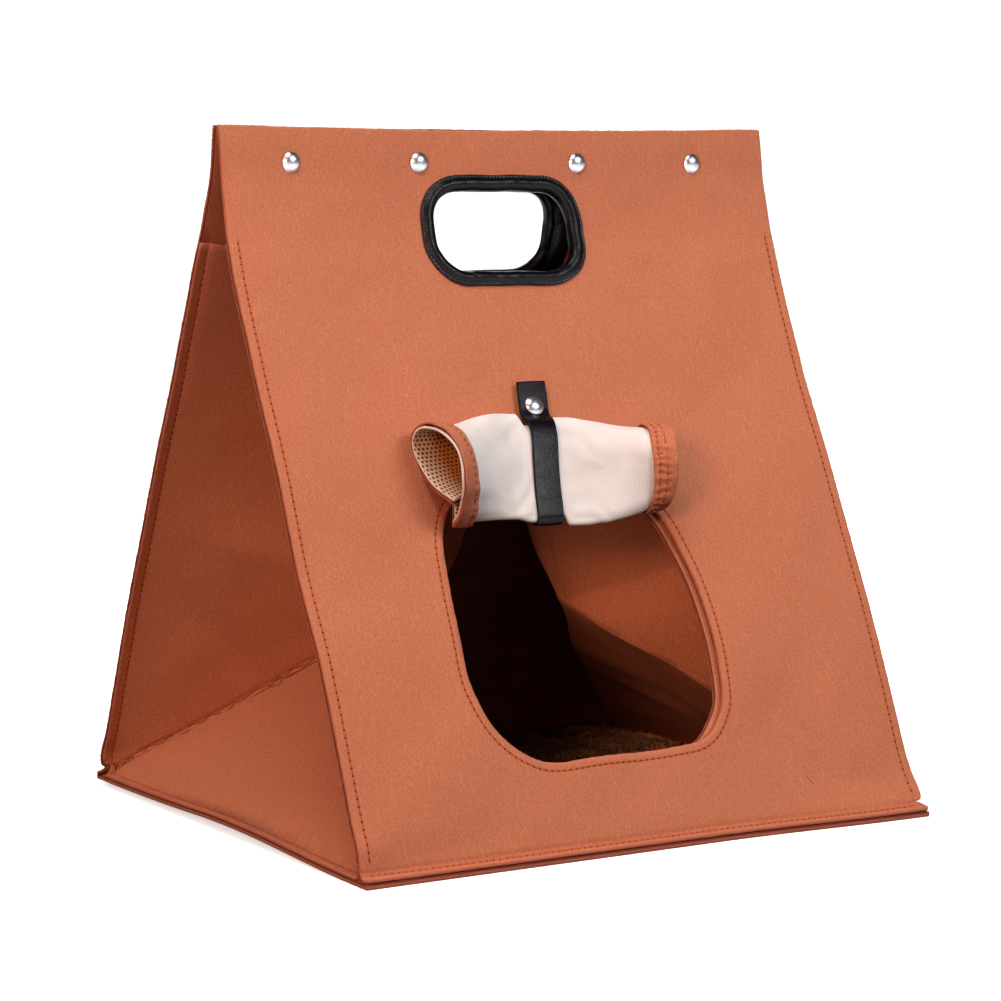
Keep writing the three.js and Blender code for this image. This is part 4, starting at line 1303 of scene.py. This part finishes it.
# Turned profiles: radius, and height out of the panel's face
CAP_RADIUS, CAP_DOME = 6.5, 3.25
SOCKET_TOP, SOCKET_DEPTH = -3.9, 2.3
CAP = [
    (0, 3.25), (1.6, 3.18), (3.1, 2.85), (4.4, 2.3), (5.4, 1.6), (6.0, 1.05), (6.3, 0.78), (6.5, 0.6),
    (6.52, 0.42), (6.4, 0.28), (6.0, 0.24), (2.0, 0.24), (2.0, -3.9), (5.4, -3.9), (5.6, -4.3),
    (5.5, -5.8), (5.1, -6.2),
]
SOCKET_END = [(3.2, -6.25), (2.9, -6.0), (2.4, -5.7), (2.2, -4.9), (0, -4.8)]
STUD_END = [(2.6, -6.1), (2.2, -6.3), (1.9, -7.0), (1.6, -7.4), (0.9, -7.6), (0, -7.65)]


def lathe(name, profile, centre, direction, material, sides=40):
    """A profile of radius and height turned about an axis through a point."""
    axis = unit(np.asarray(direction, float))
    wide = unit(np.cross(axis, [1.0, 0, 0.01]))
    other = np.cross(axis, wide)
    radius, height = np.array(profile, float).T
    angle = np.arange(sides) * math.tau / sides
    ring = wide * np.cos(angle)[:, None] + other * np.sin(angle)[:, None]
    points = centre + ring[None] * radius[:, None, None] + axis * height[:, None, None]
    quads = grid_faces(len(profile), sides, closed_columns=True)
    return make_object(name, points.reshape(-1, 3), quads[:, ::-1], material)


def snap_scale(profile, radius, dome, depth):
    """A snap's profile stretched to another cap and another depth of its socket."""

    def height(h):
        if h > 0.3:
            return h * dome / CAP_DOME
        return h if h > -3 else SOCKET_TOP + (h - SOCKET_TOP) * depth / SOCKET_DEPTH

    return [(r * radius / CAP_RADIUS, height(h)) for r, h in profile]


for i, snap_x in enumerate(SNAPS_X, 1):
    for word, side, end in (("front", FRONT, SOCKET_END), ("back", BACK, STUD_END)):
        centre = panel(snap_x, run_at(snap_x, SNAP_UP), 0, side, uneven=False)
        name = f"snap_{word}_{i}"
        made = lathe(f"{name}_nickel", CAP + end, centre, (0, side, 0), nickel)
        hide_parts(name)


# Rolled flap

MESH = 1.5
PINCH_X = -20.5
STRAP_WIDTH = 19
STRAP = 2
PINCH_MARGIN = 5
PINCH_EASE = 1.45
BAND_WIDTH = 13
RIGHT_BAND_WIDTH = 11.5
BAND = 1.6
BAND_GAP = 0.3
MESH_WIDTH = 150
ROLL_LENGTH = 147

# How the mesh rolls at its two ends (across, before the panel, up) and under the strap (before it, up)
CURL_LEFT = [
    (-86, 3.4, 216), (-87, 3.6, 203), (-90, 4.5, 193.5), (-93, 6.5, 191), (-94.5, 10.2, 192.5),
    (-95.5, 18.5, 197), (-97, 28, 204.5), (-98.5, 37.5, 213), (-99.5, 43.5, 225), (-101, 45, 236.5),
    (-103.5, 40.5, 244.6), (-105.5, 28, 247.8), (-107, 14, 245), (-107, 4.2, 236.5), (-105, 2.6, 226),
    (-102, 8.2, 214.5), (-98, 22.5, 205),
]
CURL_UNDER_STRAP = [
    (1.7, 219), (1.8, 205), (2.3, 193), (4.0, 190.6), (5.4, 191.4), (6.4, 195), (7.0, 203), (7.6, 210),
    (9.2, 222), (10.6, 233), (10.6, 240), (7.8, 243.4), (4.6, 242), (2.9, 235), (3.2, 226), (4.3, 219),
    (4.7, 213.5),
]
CURL_RIGHT = [
    (53.5, 3.4, 218), (53.5, 3.6, 206), (54.5, 5, 196), (55, 8, 193), (55, 11, 193.4),
    (55.5, 16.5, 195.8), (56, 25, 201.5), (56.5, 33, 211), (56.5, 39.5, 222), (57, 41, 231),
    (59.5, 37, 237.4), (61.5, 27, 239.4), (63, 15.5, 237), (63, 8, 230.5), (62.5, 6.6, 224),
    (60, 12, 215.5), (57, 20, 209),
]
CURL_STEPS = 24
left_curl = spline(CURL_LEFT, steps=CURL_STEPS)
strap_curl = spline([(PINCH_X, *row) for row in CURL_UNDER_STRAP], steps=CURL_STEPS)
right_curl = spline(CURL_RIGHT, steps=CURL_STEPS)


def flap_place(share, across):
    """A point of the mesh's middle: the two end curls and the flat curl under the strap, mixed by how far
    the point lies from the strap. Beside the strap the top swells up and the bottom sags."""
    at = share * (len(left_curl) - 1)
    steps = np.arange(len(left_curl))
    left, strap, right = (
        np.stack([np.interp(at, steps, curl[:, i]) for i in range(3)], -1)
        for curl in (left_curl, strap_curl, right_curl)
    )
    x = lerp(left[..., 0], right[..., 0], across)
    end = np.where((x < PINCH_X)[..., None], left, right)
    margin = STRAP_WIDTH / 2 + PINCH_MARGIN
    away = np.maximum(0, np.abs(x - PINCH_X) - margin)
    opened = np.minimum(1, away / (np.abs(end[..., 0] - PINCH_X) - margin))
    spot = lerp(strap, end, (opened**PINCH_EASE)[..., None])
    beside = np.abs(x - PINCH_X) - STRAP_WIDTH / 2
    leftward = x < PINCH_X
    most, reach = np.where(leftward, 7.2, 3.6), np.where(leftward, 64, 50)
    rise = most * smooth((beside + 2) / 4) * smooth((reach - beside) / 46) * smooth((spot[..., 2] - 218) / 24)
    sink = np.where(leftward, 2.4 * smooth((18 - beside) / 12), 5.6 * smooth((68 - beside) / 46))
    sink = sink * smooth((beside + 2.6) / 3.6) * smooth((214 - spot[..., 2]) / 18)
    return before_front(x, spot[..., 1], spot[..., 2] + rise - sink)


def flap_grid(shares, acrosses):
    """Middle points, normals and flat places of a stretch of the mesh."""
    share, across = np.meshgrid(shares, acrosses, indexing="ij")
    points = flap_place(share, across)
    step = 0.002
    long = flap_place(np.minimum(share + step, 1), across) - flap_place(np.maximum(share - step, 0), across)
    wide = flap_place(share, np.minimum(across + step, 1)) - flap_place(share, np.maximum(across - step, 0))
    normal = unit(np.cross(wide, long))
    runs = lengths(flap_place(shares, np.full(len(shares), 0.1)))
    flat = np.stack([(across - 0.5) * MESH_WIDTH, np.repeat(runs[:, None], len(acrosses), 1)], -1)
    return points, normal, flat


def flap():
    """The rolled mesh, with slow waves and, beside the strap, gathers that run as a sine along the roll."""
    shares, acrosses = np.linspace(0, 1, 150), np.linspace(0, 1, 110)
    points, normal, flat = flap_grid(shares, acrosses)
    x, run = flat[..., 0], flat[..., 1]
    near = np.abs(points[..., 0] - PINCH_X) - STRAP_WIDTH / 2
    gather = smooth(near / 6) * smooth((46 - near) / 34)
    puckers = 0.5 * gather * np.sin((run + 0.55 * np.abs(x)) / 2.6 + 1.5 * waves(x, run, 40, 61))
    slow = 0.6 * waves(x, run, 48, 62) * smooth(near / 16)
    lifted = np.maximum(puckers * 0.55 + slow, -0.5)
    rows, columns = x.shape
    middle = (points + normal * lifted[..., None]).reshape(-1, 3)
    made = cloth(
        "flap_mesh_cloth", middle, normal.reshape(-1, 3), grid_faces(rows, columns), MESH, mesh,
        flat.reshape(-1, 2), {"seam": np.full(rows * columns, NO_SEAM)}, fuzz=0.05,
    )
    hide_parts("flap_mesh")


def flap_band(label, low, high):
    """A felt band on the outer face of the mesh, gathered by its rows of stitches into puckers, one sine
    along each row."""
    name = f"flap_band_{label}"
    shares, acrosses = np.linspace(0, 1, 230), np.linspace(low, high, 17)
    points, normal, flat = flap_grid(shares, acrosses)
    run = flat[..., 1]
    across = (acrosses - low) / (high - low) * BAND_WIDTH
    rows_at = (3.2, 7.4) if label == "right" else (9.6,)
    seam = np.min([np.abs(across - at) for at in rows_at], axis=0)
    lift = 0.2 * waves(run, across[None], 14, 71) - 0.3 * bell(seam, 0.9)[None]
    for turn, at in enumerate(rows_at):
        drift = 1.6 * waves(run, across[None], 19, 72 + turn)
        pucker = np.sin(run * math.tau / (4.4 + 0.5 * turn) + 2 * turn + drift)
        lift = lift + 0.4 * pucker * bell(across - at, 1.9)[None]
    shift = MESH / 2 + BAND_GAP + BAND / 2 + 0.35 + lift
    middle = (points + normal * shift[..., None]).reshape(-1, 3)
    rows, columns = run.shape
    made = cloth(
        f"{name}_felt", middle, normal.reshape(-1, 3), grid_faces(rows, columns), BAND, felt,
        flat.reshape(-1, 2), {"seam": np.full(rows * columns, NO_SEAM)},
    )
    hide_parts(name)
    for index, at in enumerate(rows_at):
        share = lerp(low, high, at / BAND_WIDTH)
        beside = np.array([share - 1e-3, share, share + 1e-3])
        path, way, _ = flap_grid(np.linspace(0.01, 0.99, 240), beside)
        line = path[:, 1] + way[:, 1] * (MESH / 2 + BAND_GAP + BAND + 0.25)
        thread(f"{name}_thread_{index + 1}", line, way[:, 1], rust, "felt", 4.3, 3.2, 0.42)


flap()
flap_band("left", 0.0, BAND_WIDTH / ROLL_LENGTH)
flap_band("right", 1 - RIGHT_BAND_WIDTH / ROLL_LENGTH, 1.0)


# Strap

# The middle of the strap, from its loose top end over the roll and up behind it: across, before the panel, up
STRAP_ROUTE = [
    (-13.2, 5.2, 269.6), (-14.2, 5.6, 263), (-15.1, 5.6, 257), (-16, 5.7, 251.6), (-16.4, 7.4, 248.6),
    (-16.9, 10.8, 247.4), (-17.4, 13.4, 244.8), (-18.3, 14, 237), (-19.8, 12.4, 227.5), (-21.4, 10.9, 217),
    (-22.9, 9.7, 206), (-24.2, 9.2, 195.5), (-24.8, 8, 189.6), (-25, 4.6, 186.2), (-25, 0.5, 186.8),
    (-25, -4, 191), (-25, -8, 198), (-25, -10.4, 207), (-25, -10.6, 223),
]
STRAP_CORNER = 0.6
STRAP_CUP = 0.25
STRAP_SNAP_UP = 254.7
STRAP_SNAP = {"radius": 6.3, "dome": 2.8, "depth": 1.4}
STRAP_SNAP_SHIFT = 1.6
STRAP_SNAP_BASE = [
    (0, 1.2), (2.2, 1.2), (3.6, 1.0), (4.4, 0.6), (4.4, 0.3), (2, 0.3), (2, -3.9), (4.6, -3.9),
    (4.6, -4.7), (4.2, -5), (0, -5),
]


def strap():
    """A ribbon along its route: a flat section with rounded corners, a little cupped, square to the route
    and slightly wider at its loose end. Its snap stands where the ribbon passes a set height."""
    route = np.array(STRAP_ROUTE, float)
    line = spline(before_front(route[:, 0], route[:, 1], route[:, 2]), steps=20)
    line = on_curve(line, np.linspace(0, lengths(line)[-1], 190))
    ahead = unit(np.gradient(line, axis=0))
    over = np.array([1.0, 0, 0])
    normal = unit(np.cross(ahead, over))
    half, thick = STRAP_WIDTH / 2, STRAP / 2
    corner = np.linspace(0, math.pi / 2, 5)
    quarter = np.stack([
        half - STRAP_CORNER + STRAP_CORNER * np.sin(corner),
        thick - STRAP_CORNER + STRAP_CORNER * np.cos(corner),
    ], -1)
    top = np.stack([np.linspace(-(half - 0.9), half - 0.9, 15), np.full(15, thick)], -1)
    right = np.vstack([quarter, quarter[::-1] * (1, -1)])
    section = np.vstack([top, right, top[::-1] * (1, -1), right[::-1] * (-1, 1)])
    cup = STRAP_CUP * (section[:, 0] / half) ** 2
    widths = 1.06 - 0.11 * smooth((np.linspace(0, 1, len(line)) - 0.14) / 0.12)
    points = (
        line[:, None] + over * section[None, :, :1] * widths[:, None, None]
        + normal[:, None] * (section[None, :, 1:] - cup[None, :, None])
    )
    rows, columns = points.shape[:2]
    quads = grid_faces(rows, columns, closed_columns=True)
    ends = [np.arange(columns)[::-1], (rows - 1) * columns + np.arange(columns)]
    faces = [face[::-1] for face in (*quads, *ends)]
    made = make_object("strap_leather", points.reshape(-1, 3), faces, strap_leather)
    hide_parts("strap")
    snap_index = int(np.argmin(np.abs(line[:60, 2] - STRAP_SNAP_UP)))
    spot = line[snap_index]
    run = run_at(spot[0], spot[2] - STRAP)
    face = panel(spot[0], run, 0, FRONT, uneven=False)
    way = unit(panel(spot[0], run, 1, FRONT, uneven=False) - face)
    height = (spot - face) @ way
    cap = snap_scale(CAP + SOCKET_END, **STRAP_SNAP)
    cap = [(r, h + STRAP_SNAP_SHIFT if h < -3 else h) for r, h in cap]
    made = lathe("strap_snap_cap_nickel", cap, face + way * (height + STRAP / 2), way, nickel)
    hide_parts("strap_snap_cap")
    made = lathe("strap_snap_base_nickel", STRAP_SNAP_BASE, face, way, nickel)
    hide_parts("strap_snap_base")


strap()


# Plush mat

MAT = {"length": 296, "depth": 236, "power": 5, "x": 8, "y": 4, "turn": -0.05}
MAT_TOP = 15.0
MAT_ROLL = (14.2, 12.8, 10.6, 8, 4.6, 1.8, 0.4)
MAT_SWELL, MAT_SWELL_LENGTH = 1.2, 60
MAT_FALL = 2.0
TUFT_STEP = 3.0
TUFT_BASE = 14.6
TUFT_LEVELS = ((0, 1.5), (0.55, 1.25), (1, 0.3))


def mat_reach(x, y):
    """The mat's outline is where this is 1: each distance from its middle, as a share of half its length or
    depth, to a power, and the two added."""
    power = MAT["power"]
    return np.abs(x / (MAT["length"] / 2)) ** power + np.abs(y / (MAT["depth"] / 2)) ** power


def mat():
    """A crowned pad: its outline's radius in each direction, rings out to a rolled rim and back underneath,
    with short tufts standing on its upper side."""
    around = np.linspace(0, math.tau, 220, endpoint=False)
    radius = mat_reach(np.cos(around), np.sin(around)) ** (-1 / MAT["power"])
    shares = np.concatenate(
        [np.linspace(0.02, 0.9, 34), [0.94, 0.97, 0.99, 1, 0.99, 0.97, 0.93], np.linspace(0.85, 0.05, 8)]
    )
    heights = np.concatenate([np.full(34, MAT_TOP), MAT_ROLL, np.zeros(8)])
    x = shares[:, None] * radius * np.cos(around)
    y = shares[:, None] * radius * np.sin(around)
    up = np.repeat(heights[:, None], len(around), 1)
    topside = (np.arange(len(shares)) < 36)[:, None]
    swell = MAT_SWELL * waves(x, y, MAT_SWELL_LENGTH, 81)
    up = up + topside * (swell - MAT_FALL * shares[:, None] ** 6)
    c, s = math.cos(MAT["turn"]), math.sin(MAT["turn"])

    def placed(x, y, up):
        return np.stack([MAT["x"] + c * x - s * y, MAT["y"] + s * x + c * y, FELT + LAYER_GAP + up], -1)

    points = placed(x, y, up)
    rows, columns = points.shape[:2]
    lids = [np.arange(columns)[::-1], (rows - 1) * columns + np.arange(columns)]
    faces = [*grid_faces(rows, columns, closed_columns=True), *lids]
    made = make_object(
        "floor_mat_plush", points.reshape(-1, 3), faces, plush,
        marks={"tip": np.zeros(rows * columns)},
    )
    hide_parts("floor_mat")

    grid_x, grid_y = np.meshgrid(np.arange(-142, 143, TUFT_STEP), np.arange(-112, 113, TUFT_STEP))
    tuft_x = (grid_x + rng.uniform(-1.4, 1.4, grid_x.shape)).ravel()
    tuft_y = (grid_y + rng.uniform(-1.4, 1.4, grid_y.shape)).ravel()
    reach = mat_reach(tuft_x, tuft_y) ** (1 / MAT["power"])
    fits = reach < 0.95
    tuft_x, tuft_y, reach = tuft_x[fits], tuft_y[fits], reach[fits]
    swell = MAT_SWELL * waves(tuft_x, tuft_y, MAT_SWELL_LENGTH, 81)
    base_up = TUFT_BASE + swell - MAT_FALL * reach**6
    lean = 2.6 * np.stack([waves(tuft_x, tuft_y, 45, 82), waves(tuft_x, tuft_y, 45, 83)], -1)
    tall = rng.uniform(3.2, 5.0, len(tuft_x))
    angle = rng.uniform(0, math.tau, len(tuft_x))
    rings = []
    for level, girth in TUFT_LEVELS:
        spin = angle[:, None] + np.arange(3) * math.tau / 3
        ring_x = tuft_x[:, None] + lean[:, :1] * level**1.6 + girth * np.cos(spin)
        ring_y = tuft_y[:, None] + lean[:, 1:] * level**1.6 + girth * np.sin(spin)
        ring_up = np.repeat((base_up + tall * level * 0.75)[:, None], 3, 1)
        rings.append(placed(ring_x, ring_y, ring_up))
    tufts = np.stack(rings, 1)
    one = np.array([[0, 1, 4, 3], [1, 2, 5, 4], [2, 0, 3, 5], [3, 4, 7, 6], [4, 5, 8, 7], [5, 3, 6, 8]])
    faces = (one[None] + 9 * np.arange(len(tuft_x))[:, None, None]).reshape(-1, 4)
    lids = np.array([6, 7, 8])[None] + 9 * np.arange(len(tuft_x))[:, None]
    tip = np.tile(np.repeat([0.0, 0.6, 1.0], 3), len(tuft_x))
    make_object(
        "floor_mat_pile", tufts.reshape(-1, 3), [*faces, *lids], plush, marks={"tip": tip}
    )


mat()


# Studio

CAMERA_AT = (-978.8, -1621.0, 375.6)
CAMERA_YAW = math.radians(31.107)
CAMERA_PITCH = math.radians(5.564)
CAMERA_ROLL = math.radians(-0.295)
PHOTO_SIZE = 1001
FOCAL_PIXELS = 3000.4
SENSOR = 36


def camera():
    """The camera that took the photo, from its fitted place, turn and focal length."""
    data = bpy.data.cameras.new("camera")
    data.sensor_width = SENSOR
    data.lens = FOCAL_PIXELS / PHOTO_SIZE * SENSOR
    data.clip_start, data.clip_end = 0.05, 60
    made = bpy.data.objects.new("camera", data)
    level = Vector((math.sin(CAMERA_YAW), math.cos(CAMERA_YAW), 0))
    ahead = level * math.cos(CAMERA_PITCH) - Vector((0, 0, math.sin(CAMERA_PITCH)))
    right = Vector((math.cos(CAMERA_YAW), -math.sin(CAMERA_YAW), 0))
    up = right.cross(ahead)
    right, up = (
        right * math.cos(CAMERA_ROLL) + up * math.sin(CAMERA_ROLL),
        up * math.cos(CAMERA_ROLL) - right * math.sin(CAMERA_ROLL),
    )
    turn = Matrix((right, up, -ahead)).transposed().to_4x4()
    made.matrix_world = Matrix.Translation(Vector(CAMERA_AT) * MM) @ turn
    bpy.context.scene.collection.objects.link(made)
    bpy.context.scene.camera = made


def softbox(name, at, aim, size, power, colour=(1, 1, 1)):
    """A rectangular lamp at a place in metres, aimed at another."""
    data = bpy.data.lights.new(name, "AREA")
    data.shape = "RECTANGLE"
    data.size, data.size_y = size
    data.energy = power
    data.color = colour
    made = bpy.data.objects.new(name, data)
    made.matrix_world = Matrix.Translation(at) @ (
        (Vector(aim) - Vector(at)).to_track_quat("-Z", "Y").to_matrix().to_4x4()
    )
    bpy.context.scene.collection.objects.link(made)
    return made


def staged(name, points, faces, material):
    """A mesh in metres that belongs to the studio, and throws no light back on the tent."""
    data = bpy.data.meshes.new(name)
    data.from_pydata(points, [], faces)
    data.materials.append(material)
    made = bpy.data.objects.new(name, data)
    made.visible_diffuse = False
    bpy.context.scene.collection.objects.link(made)
    return made


def studio():
    """A pale floor that turns to plain white away from the tent, a white half globe behind it that gives no
    light, a dim even surround, and soft boxes around the tent, with a weak one inside it."""
    p = Paint("pale_floor")
    away = p.node("ShaderNodeVectorMath", {"operation": "LENGTH"}, {0: p.place()}, output=1)
    far = away.step(0.3, 0.9)
    surface = p.finish(
        Base_Color=p.mix(far, (0.93, 0.93, 0.93, 1), (0.97, 0.97, 0.97, 1)), Roughness=0.8,
        Specular_IOR_Level=0.1, Emission_Strength=1.0,
        Emission_Color=p.mix(far, (0.5, 0.5, 0.5, 1), (0.9, 0.9, 0.9, 1)),
    )
    reach, ground_up = 14, -0.0002
    corners = ((-reach, -reach), (reach, -reach), (reach, reach), (-reach, reach))
    staged("floor", [(x, y, ground_up) for x, y in corners], [(0, 1, 2, 3)], surface)

    p = Paint("white_backdrop")
    white = p.finish(Base_Color=(0, 0, 0, 1), Emission_Color=(1, 1, 1, 1), Emission_Strength=1.0)
    globe_radius = 12
    turn = np.linspace(0, math.tau, 48, endpoint=False)
    rise = np.linspace(-0.05, math.pi / 2 - 0.02, 12)
    round_x = np.cos(rise)[:, None] * np.cos(turn)
    round_y = np.cos(rise)[:, None] * np.sin(turn)
    up = np.repeat(np.sin(rise)[:, None], len(turn), 1)
    points = globe_radius * np.stack([round_x, round_y, up], -1).reshape(-1, 3)
    faces = grid_faces(len(rise), len(turn), closed_columns=True).tolist()
    lid = (len(rise) - 1) * len(turn) + np.arange(len(turn))
    backdrop = staged("backdrop", points.tolist(), [*faces, lid.tolist()], white)
    backdrop.visible_glossy = False
    backdrop.visible_shadow = False

    world = bpy.data.worlds.new("surround")
    world.use_nodes = True
    background = world.node_tree.nodes["Background"]
    background.inputs["Color"].default_value = (1, 1, 1, 1)
    background.inputs["Strength"].default_value = 0.06
    bpy.context.scene.world = world
    bpy.context.scene.view_settings.view_transform = "Standard"
    bpy.context.scene.view_settings.look = "Medium High Contrast"

    softbox("key", (0.75, -1.75, 1.35), (0, -0.05, 0.2), (0.9, 0.7), 20.5)
    softbox("top", (-0.55, -0.65, 2.1), (0, 0, 0.2), (0.9, 0.9), 18)
    softbox("side", (-1.7, 0.25, 1.5), (0, 0, 0.1), (1.0, 1.0), 7, (1.0, 0.78, 0.64))
    softbox("low", (-1.75, -1.35, 0.95), (0, 0, 0.15), (0.6, 0.6), 20, (1.0, 0.63, 0.43))
    softbox("behind", (0.8, 1.8, 1.3), (0, 0.1, 0.2), (0.8, 0.8), 11)
    inside = softbox(
        "inside", (-0.075, -0.085, 0.16), (0.09, -0.035, 0.145), (0.03, 0.03), 0.007, (1.0, 0.7, 0.5)
    )
    inside.data.spread = math.radians(56)


camera()
studio()
